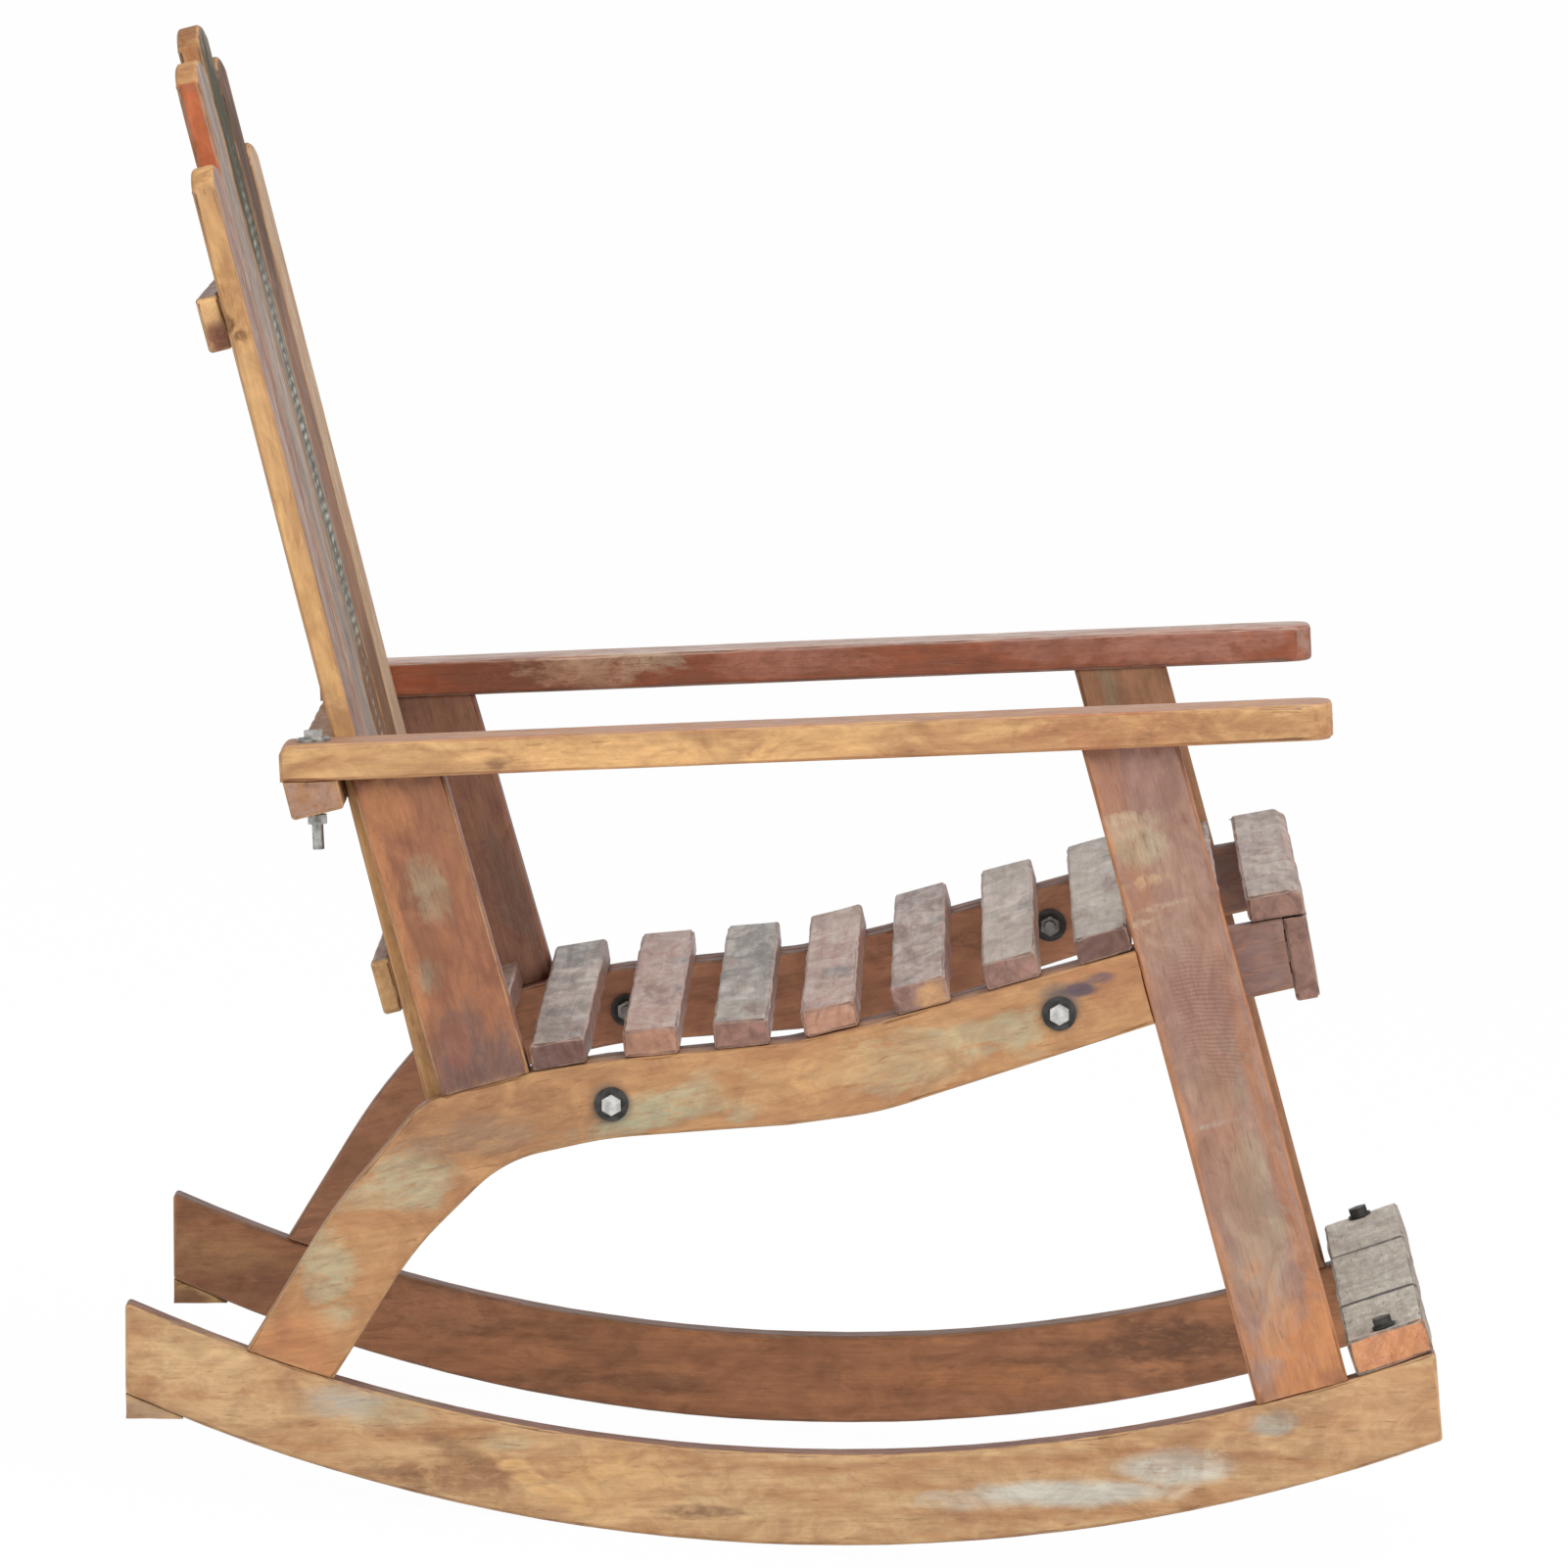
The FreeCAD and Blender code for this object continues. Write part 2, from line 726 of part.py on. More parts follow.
for side, sign in SIDES.items():
    outer_side = f"{sign}board_side"
    toe = ("chair_length", rocker_edge("chair_length"))
    toe_top_reach = "(chair_length - rocker_toe_slant)"
    toe_top = (toe_top_reach, rocker_edge(toe_top_reach, "rocker_depth"))
    tail = ("0", rocker_edge("0"))
    tail_top = ("0", rocker_edge("0", "rocker_depth"))
    rocker = board(
        f"rocker_{side}_board",
        [side_view(*tail), side_view(*toe), side_view(*toe_top), side_view(*tail_top)],
        "board_thickness",
        arcs={
            0: ("rocker_radius", side_view("rocker_low_reach", "0")),
            2: ("rocker_radius", side_view("rocker_low_reach", "rocker_depth")),
        },
        whole=True,
    )
    at_side(rocker, outer_side)
    nodes.append((f"rocker_{side}", rocker))

    block = board(
        f"tail_block_{side}_board",
        [
            side_view("0", f"{rocker_edge('0')} - slip_gap"),
            side_view("0", block_low),
            side_view("block_run", block_low),
            side_view("block_run", f"{rocker_edge('block_run')} - slip_gap"),
        ],
        "board_thickness - 2 * tail_block_inset",
        joints=(0, 1, 2, 3),
    )
    at_side(block, outer_side)
    nodes.append((f"tail_block_{side}", block))

    rail = board(
        f"side_rail_{side}_board",
        [
            side_view(*spot)
            for spot in (
                rail_top_end,
                seat_rise,
                seat_dip,
                seat_hump,
                seat_back,
                heel,
                ("leg_bend_reach", "leg_bend_height"),
                rear_foot_back,
                rear_foot_front,
                ("leg_inner_reach", "leg_inner_height"),
                belly_back,
                belly_hump,
                belly_dip,
                belly_rise,
                belly_knee,
                rail_low_end,
            )
        ],
        "board_thickness",
        rounds=[
            ("seat_bend_radius", (1, 2, 3, 4)),
            ("heel_radius", (5,)),
            ("leg_bend_radius", (6,)),
            ("leg_inner_radius", (9,)),
            ("crook_radius", (10,)),
            ("belly_bend_radius", (11, 12, 13)),
        ],
        joints=(7, 15),
    )
    at_side(rail, outer_side)
    nodes.append((f"side_rail_{side}", rail))

    leg = board(
        f"front_leg_{side}_board",
        [side_view(*spot) for spot in (leg_foot_rear, leg_foot_front, leg_top_front, leg_top_rear)],
        "board_thickness",
        joints=(0, 2),
    )
    at_side(leg, outer_side)
    nodes.append((f"front_leg_{side}", leg))

    post = board(
        f"rear_post_{side}_board",
        [side_view(*spot) for spot in (post_foot_rear, seat_back, post_top_front, post_top_rear)],
        "board_thickness",
        joints=(0, 2),
    )
    at_side(post, outer_side)
    nodes.append((f"rear_post_{side}", post))

    seat_rail = board(
        f"seat_rail_{side}_board",
        [
            side_view(*spot)
            for spot in (
                apron_rear,
                seat_knee,
                seat_rise,
                seat_dip,
                seat_hump,
                seat_back,
                rail_rear_top,
                rail_rear_low,
                belly_back,
                belly_hump,
                belly_dip,
                belly_rise,
                belly_knee,
                belly_front,
            )
        ],
        "seat_rail_thickness",
        rounds=[
            ("seat_bend_radius", (1, 2, 3, 4, 5)),
            ("belly_bend_radius", (9, 10, 11)),
        ],
        joints=(6, 13),
    )
    at_side(seat_rail, f"{sign}seat_rail_side")
    nodes.append((f"seat_rail_{side}", seat_rail))

    arm = doc.addObject("PartDesign::Body", f"arm_{side}_board")
    half, length = "arm_width / 2", "0 - arm_length"
    plan = [(f"0 - {half}", length), (half, length), (half, "0"), (f"0 - {half}", "0")]
    plan_sketch = closed_sketch(arm, f"arm_{side}_plan", "XY_Plane", plan, {})
    padded(arm, plan_sketch, "arm_thickness", symmetric=False)
    arm_end = -value("arm_length")
    rounded(
        arm,
        edge_names(
            arm.Shape,
            lambda edge: abs(edge_middle(edge).y - arm_end) < NEAR
            and abs(edge.Vertexes[0].Point.z - edge.Vertexes[-1].Point.z) > NEAR,
        ),
        "arm_corner",
        f"arm_{side}_corners",
    )
    arm_top = value("arm_thickness")
    rounded(
        arm,
        edge_names(
            arm.Shape,
            lambda edge: abs(edge_middle(edge).y) < NEAR
            and abs(edge_middle(edge).z - arm_top) < NEAR,
        ),
        "arm_heel_round",
        f"arm_{side}_heel",
    )
    rounded(
        arm,
        edge_names(
            arm.Shape,
            lambda edge: edge_middle(edge).y < -NEAR
            and abs(edge.Vertexes[0].Point.z - edge.Vertexes[-1].Point.z) < NEAR
            and edge_middle(edge).z in (0, arm_top),
        ),
        "board_ease",
        f"arm_{side}_ease",
    )
    stood(arm, (f"{sign}arm_side", "arm_rear_reach", "arm_rear_height"), "arm_slope")
    nodes.append((f"arm_{side}", arm))

# Seat slats on the seat line


def on_seat(stretch, reach, along="0", up="0"):
    """Point on a stretch of the seat line, moved along it and up off it."""
    start, level, slope = SEAT[stretch]
    return (
        f"({reach}) + ({along}) * {stretch}_cos - ({up}) * {stretch}_sin",
        f"{level} + {slope} * (({reach}) - {start}) + ({along}) * {stretch}_sin"
        f" + ({up}) * {stretch}_cos",
    )


def seat_slat(name, stretch, reach, width, length, rounds=()):
    """Slat laid flat on one stretch of the seat line."""
    corners = [("0", "0"), (width, "0"), (width, "slat_thickness"), ("0", "slat_thickness")]
    spots = [side_view(*on_seat(stretch, reach, along, up)) for along, up in corners]
    item = board(name + "_board", spots, length, rounds=rounds, whole=True)
    at_side(item)
    nodes.append((name, item))


rear_slat_start = place("rear_slat_start", "rail_rear_top_reach + 3 * slip_gap")
rear_slat_width = place(
    "rear_slat_width", "(slat_first - slat_space - rear_slat_start) / heel_cos"
)
between_boards = place("between_boards", "2 * (inner_face - slat_end_gap)")
seat_slat("rear_seat_slat", "heel", rear_slat_start, rear_slat_width, between_boards)
SLAT_STRETCHES = ["rear", "hump", "hump", "dip", "main", "main", "main", "front"]
for count, stretch in enumerate(SLAT_STRETCHES, start=1):
    span = between_boards if count == len(SLAT_STRETCHES) else "frame_width"
    seat_slat(f"seat_slat_{count}", stretch, slat_reach(count), "slat_width", span)
nose_reach = place("nose_reach", "seat_front_reach - nose_width * front_cos")
seat_slat(
    "nose_slat", "front", nose_reach, "nose_width", "2 * inner_face", [("nose_round", (2,))]
)

apron = board(
    "front_apron_board",
    [
        side_view(*spot)
        for spot in (
            apron_rear_low,
            apron_front_low,
            (seat_front[0], "seat_front_height"),
            apron_rear,
        )
    ],
    "2 * inner_face",
    joints=(2,),
    whole=True,
)
at_side(apron)
nodes.append(("front_apron", apron))

# Footboard across the toes

foot_rear_reach = place("foot_rear_reach", "leg_foot_front_reach + footboard_gap")
foot_rear = (
    foot_rear_reach,
    place("foot_rear_height", rocker_edge("foot_rear_reach", "rocker_depth")),
)
foot_front_reach = place("foot_front_reach", "foot_rear_reach + footboard_run")
foot_front = (
    foot_front_reach,
    place("foot_front_height", rocker_edge("foot_front_reach", "rocker_depth")),
)
foot_slope = slope_between("foot_slope", foot_rear, foot_front)
foot_cos = place("foot_cos", "1 / sqrt(1 + foot_slope^2)")
foot_sin = place("foot_sin", "foot_slope * foot_cos")
foot_angle = place("foot_angle", "atan(foot_slope) / 1 deg")


def over_foot(spot, distance):
    return f"({spot[0]}) - ({distance}) * foot_sin", f"({spot[1]}) + ({distance}) * foot_cos"


footboard = board(
    "footboard_board",
    [
        side_view(*foot_rear),
        side_view(*foot_front),
        side_view(*over_foot(foot_front, "footboard_thickness")),
        side_view(*over_foot(foot_rear, "footboard_thickness")),
    ],
    "frame_width",
    whole=True,
)
at_side(footboard)
nodes.append(("footboard", footboard))

# Crossbar behind the back, trimmed to the underside of the arms

crossbar_length = place("crossbar_length", "2 * arm_side + arm_width")
crossbar = board(
    "arm_crossbar_board",
    [side_view(*spot) for spot in (bar_rear_low, bar_front_low, bar_front_top, bar_rear_top)],
    crossbar_length,
    joints=(2,),
    whole=True,
)
at_side(crossbar)
nodes.append(("arm_crossbar", crossbar))

# Boards that lean with the backrest, drawn upright and then tilted

back_rise_sin = place("back_rise_sin", "sin(back_lean)")
back_rise_cos = place("back_rise_cos", "cos(back_lean)")


def on_back(rise, behind="0"):
    """Point a rise up the back's rear face, and a distance behind that face."""
    return (
        f"back_foot_reach - ({rise}) * back_rise_sin - ({behind}) * back_rise_cos",
        f"back_foot_height + ({rise}) * back_rise_cos - ({behind}) * back_rise_sin",
    )


def leaned(body, side="0"):
    return stood(body, (side, "back_foot_reach", "back_foot_height"), "back_lean")


slat_step = place("slat_step", "back_slat_width + back_slat_gap")
BACK_SLATS = [
    ("back_slat_outer_right", -2, "back_outer_length"),
    ("back_slat_inner_right", -1, "back_inner_length"),
    ("back_slat_centre", 0, "back_centre_length"),
    ("back_slat_inner_left", 1, "(back_inner_length - back_left_drop)"),
    ("back_slat_outer_left", 2, "(back_outer_length - back_left_drop)"),
]
arch_radius = place(
    "arch_radius", "(back_slat_width^2 / 4 + back_slat_arch^2) / (2 * back_slat_arch)"
)
for name, count, height in BACK_SLATS:
    body = doc.addObject("PartDesign::Body", name + "_board")
    half = "back_slat_width / 2"
    shoulder = f"{height} - back_slat_arch"
    front = [(f"0 - {half}", "0"), (half, "0"), (half, shoulder), (f"0 - {half}", shoulder)]
    arch = {2: (arch_radius, ("0", height))}
    sketch = closed_sketch(body, name + "_front", "XZ_Plane", front, arch)
    padded(body, sketch, "back_board", symmetric=False)
    rounded(
        body,
        edge_names(body.Shape, lambda edge: edge_middle(edge).z > NEAR),
        "board_ease",
        name + "_ease",
    )
    leaned(body, f"{count} * slat_step")
    nodes.append((name, body))

batten_length = place("batten_length", "back_width - 2 * batten_inset")
for level in ("upper", "lower"):
    name, rise = f"{level}_back_batten", f"{level}_batten_rise"
    low, high = rise, f"{rise} + batten_height"
    body = doc.addObject("PartDesign::Body", name + "_board")
    end, bevel = "batten_length / 2", "batten_length / 2 - batten_bevel"
    front = [(f"0 - ({bevel})", low), (bevel, low), (end, high), (f"0 - {end}", high)]
    sketch = closed_sketch(body, name + "_front", "XZ_Plane", front, {})
    pad = padded(body, sketch, f"{level}_batten_thickness", symmetric=False)
    pad.Reversed = True
    doc.recompute()
    rounded(body, edge_names(body.Shape, lambda edge: True), "board_ease", name + "_ease")
    leaned(body)
    nodes.append((name, body))

foot_rail_top = place(
    "foot_rail_top",
    "(rail_rear_top_height - back_foot_height) * back_rise_cos"
    " + (back_foot_reach - rail_rear_top_reach) * back_rise_sin - slip_gap",
)
rail_low = "foot_rail_top - foot_rail_height"
rail_depth = ("0 - back_board", "0 - back_board - foot_rail_thickness")
foot_rail = board(
    "back_foot_rail_board",
    [
        (rail_depth[0], rail_low),
        (rail_depth[1], rail_low),
        (rail_depth[1], "foot_rail_top"),
        (rail_depth[0], "foot_rail_top"),
    ],
    "2 * rail_inner_face",
    whole=True,
)
leaned(foot_rail)
nodes.append(("back_foot_rail", foot_rail))

# Fasteners of the side frames

SHARES = ("joint_near_share", "joint_far_share")


def between(first, second, share):
    return tuple(f"({a}) + (({b}) - ({a})) * {share}" for a, b in zip(first, second))


rear_leg_lean = place(
    "rear_leg_lean",
    "0 - atan((leg_bend_reach - rear_foot_back_reach)"
    " / (leg_bend_height - rear_foot_back_height)) / 1 deg",
)
LONG_DOWEL = ("dowel_reach", "dowel_reach", "dowel_diameter")
SHORT_DOWEL = ("short_dowel_reach", "dowel_reach", "dowel_diameter")
ARM_DOWEL = ("dowel_reach", "short_dowel_reach", "slat_dowel_diameter")
SLAT_DOWEL = ("slat_dowel_sink", "slat_dowel_rise", "slat_dowel_diameter")
APRON_DOWEL = ("slat_dowel_sink", "apron_dowel_sink", "slat_dowel_diameter")

# Group, name, ends of the joint, lean, dowel sizes, and the lower and upper board
FRAME_JOINTS = [
    (
        "rocker_dowels",
        "leg_foot",
        (leg_foot_rear, leg_foot_front),
        "leg_lean",
        LONG_DOWEL,
        "rocker",
        "front_leg",
    ),
    (
        "rocker_dowels",
        "rear_foot",
        (rear_foot_front, rear_foot_back),
        rear_leg_lean,
        LONG_DOWEL,
        "rocker",
        "side_rail",
    ),
    (
        "frame_dowels",
        "post_foot",
        (post_foot_rear, seat_back),
        "post_lean",
        LONG_DOWEL,
        "side_rail",
        "rear_post",
    ),
    (
        "frame_dowels",
        "rail_end",
        (rail_low_end, rail_top_end),
        "leg_lean - 90",
        SHORT_DOWEL,
        "side_rail",
        "front_leg",
    ),
    (
        "arm_dowels",
        "leg_top",
        (leg_top_rear, leg_top_front),
        "leg_lean",
        ARM_DOWEL,
        "front_leg",
        "arm",
    ),
    (
        "arm_dowels",
        "post_top",
        (post_top_rear, post_top_front),
        "post_lean",
        ARM_DOWEL,
        "rear_post",
        "arm",
    ),
]
SIDE_BOLTS = [
    (
        "rear",
        place("side_bolt_rear_reach", "seat_back_reach + side_bolt_rear_set"),
        "hump",
        "side_bolt_rear_drop",
    ),
    (
        "front",
        place("side_bolt_front_reach", "leg_corner - side_bolt_front_set"),
        "main",
        "side_bolt_front_drop",
    ),
]
for side, sign in SIDES.items():
    other = "right" if side == "left" else "left"
    middle = f"{sign}board_side"
    for name, reach, stretch, drop in SIDE_BOLTS:
        if side == "left":
            reach = f"({reach} - side_bolt_left_shift)"
        spot = (reach, f"{on_seat(stretch, reach)[1]} - {drop}")
        outside = f"side_bolt_{side}_{name}"
        seat = (f"{sign}(frame_half + washer_thickness)", *spot)
        boards = (f"side_rail_{side}", f"seat_rail_{side}")
        bolt("side_bolts", outside, seat, side, "side_bolt_length", boards)
        face = (f"{sign}frame_half", *spot)
        back_face = (f"{sign}rail_inner_face", *spot)
        nut_face = moved(back_face, other, "washer_thickness")
        for label, start, way in (("out", face, side), ("in", back_face, other)):
            ring(
                "side_bolt_washers",
                f"side_washer_{side}_{name}_{label}",
                start,
                way,
                "washer_thickness",
                "washer_diameter",
            )
        body = hexagon(f"side_nut_{side}_{name}_body", nut_face, other, "nut_height")
        ring("side_bolt_nuts", f"side_nut_{side}_{name}", nut_face, other, "nut_height", "", body)

    for group, name, ends, lean, sizes, lower, upper in FRAME_JOINTS:
        for number, share in enumerate(SHARES, 1):
            spot = (middle, *between(*ends, share))
            boards = (f"{lower}_{side}", f"{upper}_{side}")
            dowel(group, f"{name}_dowel_{side}_{number}", spot, lean, *sizes, boards)
    for number, share in enumerate(SHARES, 1):
        spot = (f"{sign}seat_rail_side", *between(apron_rear, belly_front, share))
        boards = (f"seat_rail_{side}", "front_apron")
        label = f"apron_dowel_{side}_{number}"
        dowel("apron_dowels", label, spot, "front_angle - 90", *APRON_DOWEL, boards)
        inside = on_back(
            f"{rail_low} + foot_rail_height * {share}", "0 - back_board - foot_rail_thickness / 2"
        )
        spot = (f"{sign}rail_inner_face", *inside)
        boards = (f"seat_rail_{side}", "back_foot_rail")
        dowel(
            "foot_rail_dowels",
            f"foot_rail_dowel_{side}_{number}",
            spot,
            side,
            *SLAT_DOWEL,
            boards,
        )

    # Two nails hold each tail block up under its rocker.
    for number, share in enumerate(("nail_end_share", "2 * nail_end_share"), 1):
        spot = (middle, f"block_run * {share}", block_low)
        nail_length = f"nail_length * (1 - {share})"
        nail = rod(f"block_nail_{side}_{number}", spot, "0", nail_length, "nail_diameter")
        kept("tail_block_nails", nail)
        hole_length = f"{nail_length} + slip_gap"
        hole = rod(nail.Name + "_hole", spot, "0", hole_length, "nail_diameter + dowel_fit")
        drilled_for((f"tail_block_{side}", f"rocker_{side}"), hole)

    # Bolt down through the arm and the crossbar, with its nut on the bar's slope.
    arm_middle = f"{sign}arm_side"
    arm_spot = moved(
        (arm_middle, "arm_rear_reach", "arm_rear_height"), "arm_slope - 90", "arm_bolt_set"
    )
    top_face = moved(arm_spot, "arm_slope", "arm_thickness")
    seat = moved(top_face, "arm_slope", "washer_thickness")
    boards = (f"arm_{side}", "arm_crossbar")
    bolt("arm_bolts", f"arm_bolt_{side}", seat, "arm_slope", "arm_bolt_length", boards)
    ring(
        "arm_bolt_washers",
        f"arm_washer_{side}",
        top_face,
        "arm_slope",
        "washer_thickness",
        "washer_diameter",
    )
    bar_low = (bar_rear_low[0], bar_rear_low[1], back_tan)
    low_spot = crossing(f"arm_nut_{side}", (arm_spot[1], arm_spot[2], arm_tan), bar_low)
    tilt_room = "head_across_flats / sqrt(3) * tan(back_lean - arm_slope) + slip_gap / 3"
    nut_seat = moved((arm_middle, *low_spot), "arm_slope", f"0 - ({tilt_room}) - nut_height")
    body = hexagon(f"arm_nut_{side}_body", nut_seat, "arm_slope", "nut_height")
    ring("arm_bolt_nuts", f"arm_nut_{side}", nut_seat, "arm_slope", "nut_height", "", body)

    # Coach screw down through the footboard into the rocker.
    foot_middle = between(foot_rear, foot_front, "0.5")
    face = moved((middle, *foot_middle), foot_angle, "footboard_thickness")
    seat = moved(face, foot_angle, "coach_washer_thickness")
    boards = ("footboard", f"rocker_{side}")
    label = f"coach_screw_{side}"
    bolt("footboard_coach_screws", label, seat, foot_angle, "coach_length", boards)
    ring(
        "footboard_washers",
        f"coach_washer_{side}",
        face,
        foot_angle,
        "coach_washer_thickness",
        "coach_washer_diameter",
    )

# Dowels under the seat slats

SLAT_SEATS = [("rear_seat_slat", "heel", rear_slat_start, rear_slat_width, "inner")]
for count, stretch in enumerate(SLAT_STRETCHES, start=1):
    kind = "inner" if count == len(SLAT_STRETCHES) else "outer"
    SLAT_SEATS.append((f"seat_slat_{count}", stretch, slat_reach(count), "slat_width", kind))
SLAT_SEATS.append(
    ("nose_slat", "front", seat_front[0], "0 - apron_thickness * front_cos", "apron")
)
for name, stretch, reach, width, kind in SLAT_SEATS:
    for side, sign in SIDES.items():
        across, rail = {
            "outer": ("board_side", f"side_rail_{side}"),
            "inner": ("seat_rail_side", f"seat_rail_{side}"),
            "apron": ("inner_face / 2", "front_apron"),
        }[kind]
        spot = (f"{sign}{across}", *on_seat(stretch, reach, f"({width}) / 2"))
        label = f"{name}_dowel_{side}"
        dowel("seat_slat_dowels", label, spot, f"{stretch}_angle", *SLAT_DOWEL, (name, rail))

# Screws from behind into each back slat

bar_rise = place(
    "bar_rise",
    "(bar_front_low_height - back_foot_height) / back_rise_cos + crossbar_height / 4",
)

# Group, board screwed through, rise of the row, depth of its seat, and length
SCREW_ROWS = [
    (
        "upper_batten_screws",
        "upper_back_batten",
        "upper_batten_rise + batten_height / 2",
        "upper_batten_thickness",
        "batten_screw_length",
    ),
    (
        "lower_batten_screws",
        "lower_back_batten",
        "lower_batten_rise + batten_height / 2",
        "lower_batten_thickness",
        "batten_screw_length - (upper_batten_thickness - lower_batten_thickness)",
    ),
    (
        "foot_rail_screws",
        "back_foot_rail",
        f"{rail_low} + foot_rail_height / 2",
        "0",
        "foot_screw_length",
    ),
    ("crossbar_screws", "arm_crossbar", bar_rise, "crossbar_depth", "crossbar_screw_length"),
]
for group, carrier, rise, behind, length in SCREW_ROWS:
    for slat, count, height in BACK_SLATS:
        seat = (f"{count} * slat_step", *on_back(rise, behind))
        screw(group, f"{group}_{count + 3}", seat, "back_lean + 90", length, (carrier, slat))

# Drill the boards and gather the fasteners

doc.recompute()
pieces = []
for name, body in nodes:
    if name not in drills:
        body.Label = name
        pieces.append(body)
        continue
    body.Label = name + "_blank"
    tools = doc.addObject("Part::Compound", name + "_holes")
    tools.Links = drills[name]
    piece = joined(name, body, tools, "Part::Cut")
    piece.Label = name
    pieces.append(piece)
for name, items in groups.items():
    piece = doc.addObject("Part::Compound", name)
    piece.Links = items
    piece.Label = name
    pieces.append(piece)
doc.recompute()

# Check every object and write one file for each piece

for item in doc.Objects:
    if "Invalid" in item.State or "Error" in item.State:
        raise RuntimeError(f"{item.Name} did not recompute: {item.State}")
for piece in pieces:
    if piece.Shape.isNull() or not piece.Shape.isValid():
        raise RuntimeError(f"{piece.Label} has no valid shape")
os.makedirs("parts", exist_ok=True)
for piece in pieces:
    piece.Shape.exportStep(os.path.join("parts", piece.Label + ".step"))
    print(piece.Label, len(piece.Shape.Solids), round(piece.Shape.Volume))
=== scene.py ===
import math

import bmesh
import bpy
import numpy as np
from mathutils import Matrix, Vector


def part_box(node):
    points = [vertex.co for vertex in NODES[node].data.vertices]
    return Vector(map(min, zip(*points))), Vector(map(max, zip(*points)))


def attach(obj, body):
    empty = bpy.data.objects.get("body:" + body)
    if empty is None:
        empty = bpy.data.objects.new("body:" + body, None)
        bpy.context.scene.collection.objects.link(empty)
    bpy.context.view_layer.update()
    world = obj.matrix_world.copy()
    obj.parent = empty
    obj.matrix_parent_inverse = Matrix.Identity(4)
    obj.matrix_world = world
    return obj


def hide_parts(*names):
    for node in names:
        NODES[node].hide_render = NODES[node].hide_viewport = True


# Outdoor rocking chair of reclaimed boards.
# The chair stands in the pose in which it balances when empty, LEAN degrees
# back from level. Places on the boards are given as a reach forward of the
# rocker's tail and a height, both of the chair held level, in millimetres,
# and on_chair() rolls them back. ROCKER_LOW is the reach of the rocker's
# lowest point when level, and CONTACT how far behind the origin the rockers
# touch the floor.

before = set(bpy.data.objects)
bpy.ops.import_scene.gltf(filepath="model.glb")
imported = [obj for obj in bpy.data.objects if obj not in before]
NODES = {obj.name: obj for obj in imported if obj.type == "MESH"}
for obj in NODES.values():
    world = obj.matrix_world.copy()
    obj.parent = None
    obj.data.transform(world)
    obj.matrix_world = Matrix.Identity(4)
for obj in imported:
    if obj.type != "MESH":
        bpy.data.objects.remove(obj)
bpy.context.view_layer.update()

MM = 0.001
LEAN = 6.65
REST_LEAN = math.radians(LEAN)
ROCKER_RADIUS = 1222 * MM
ROCKER_LOW = 500.3 * MM
CONTACT = 49.6 * MM


def rolled(backward, height):
    """Turn a level place about the centre of the rocker arcs."""
    high = height - ROCKER_RADIUS
    return (
        CONTACT + backward * math.cos(REST_LEAN) + high * math.sin(REST_LEAN),
        ROCKER_RADIUS - backward * math.sin(REST_LEAN) + high * math.cos(REST_LEAN),
    )


def on_chair(side, reach, height):
    """Point of the chair from its sideways place, reach and height, in millimetres."""
    return Vector((side * MM, *rolled(ROCKER_LOW - reach * MM, height * MM)))


# Colours, as they are in plain light

GOLD = (0.72, 0.45, 0.20)
STRAW = (0.68, 0.47, 0.25)
HONEY = (0.56, 0.32, 0.145)
TAN = (0.46, 0.27, 0.14)
AMBER = (0.40, 0.195, 0.085)
BROWN = (0.30, 0.145, 0.070)
UMBER = (0.19, 0.090, 0.045)
ORANGE = (0.53, 0.23, 0.095)
COPPER = (0.62, 0.29, 0.155)
SCARLET = (0.56, 0.17, 0.075)
SIENNA = (0.40, 0.17, 0.080)
RUST = (0.36, 0.10, 0.040)
RED_BROWN = (0.23, 0.085, 0.048)
DARK_RED = (0.11, 0.045, 0.030)
ROSE = (0.42, 0.265, 0.200)
MAUVE = (0.31, 0.175, 0.135)
DEEP_MAUVE = (0.17, 0.095, 0.080)
GREY_MAUVE = (0.47, 0.375, 0.325)
ASH = (0.41, 0.36, 0.31)
STONE = (0.30, 0.26, 0.22)
SLATE = (0.13, 0.115, 0.105)
OLIVE = (0.20, 0.175, 0.115)
CREAM = (0.56, 0.45, 0.31)
PALE_BLUE = (0.58, 0.56, 0.48)
PALE_GREEN = (0.46, 0.43, 0.28)
MOSS = (0.27, 0.28, 0.19)
NEARLY_BLACK = (0.030, 0.024, 0.020)
DULL_BROWN = (0.30, 0.19, 0.12)
BOLT_STAIN = (0.12, 0.08, 0.095)
FAINT_BOLT_STAIN = (0.15, 0.10, 0.11)
BLUE_GREY = (0.44, 0.44, 0.38)
PEBBLE = (0.46, 0.42, 0.35)
WARM_TAN = (0.54, 0.31, 0.16)
DUSKY_ROSE = (0.33, 0.175, 0.14)
DUSTY_MAUVE = (0.30, 0.20, 0.165)
GREY_GREEN = (0.40, 0.35, 0.25)
DULL_GREEN = (0.38, 0.31, 0.22)
DUSKY_MAUVE = (0.35, 0.20, 0.165)
DUN = (0.40, 0.30, 0.22)
DRAB = (0.36, 0.30, 0.19)
BRICK = (0.36, 0.13, 0.075)
CHESTNUT = (0.52, 0.235, 0.108)
DARK_CHESTNUT = (0.31, 0.135, 0.066)
BURNT_BROWN = (0.15, 0.065, 0.035)
RUSSET = (0.52, 0.245, 0.13)
DARK_RUSSET = (0.32, 0.15, 0.08)
FAWN = (0.46, 0.225, 0.12)
COCOA = (0.33, 0.165, 0.105)
DARK_COCOA = (0.22, 0.105, 0.072)
SOOT_BROWN = (0.19, 0.125, 0.10)
BLEACHED = (0.46, 0.35, 0.24)
DARK_COPPER = (0.40, 0.185, 0.105)
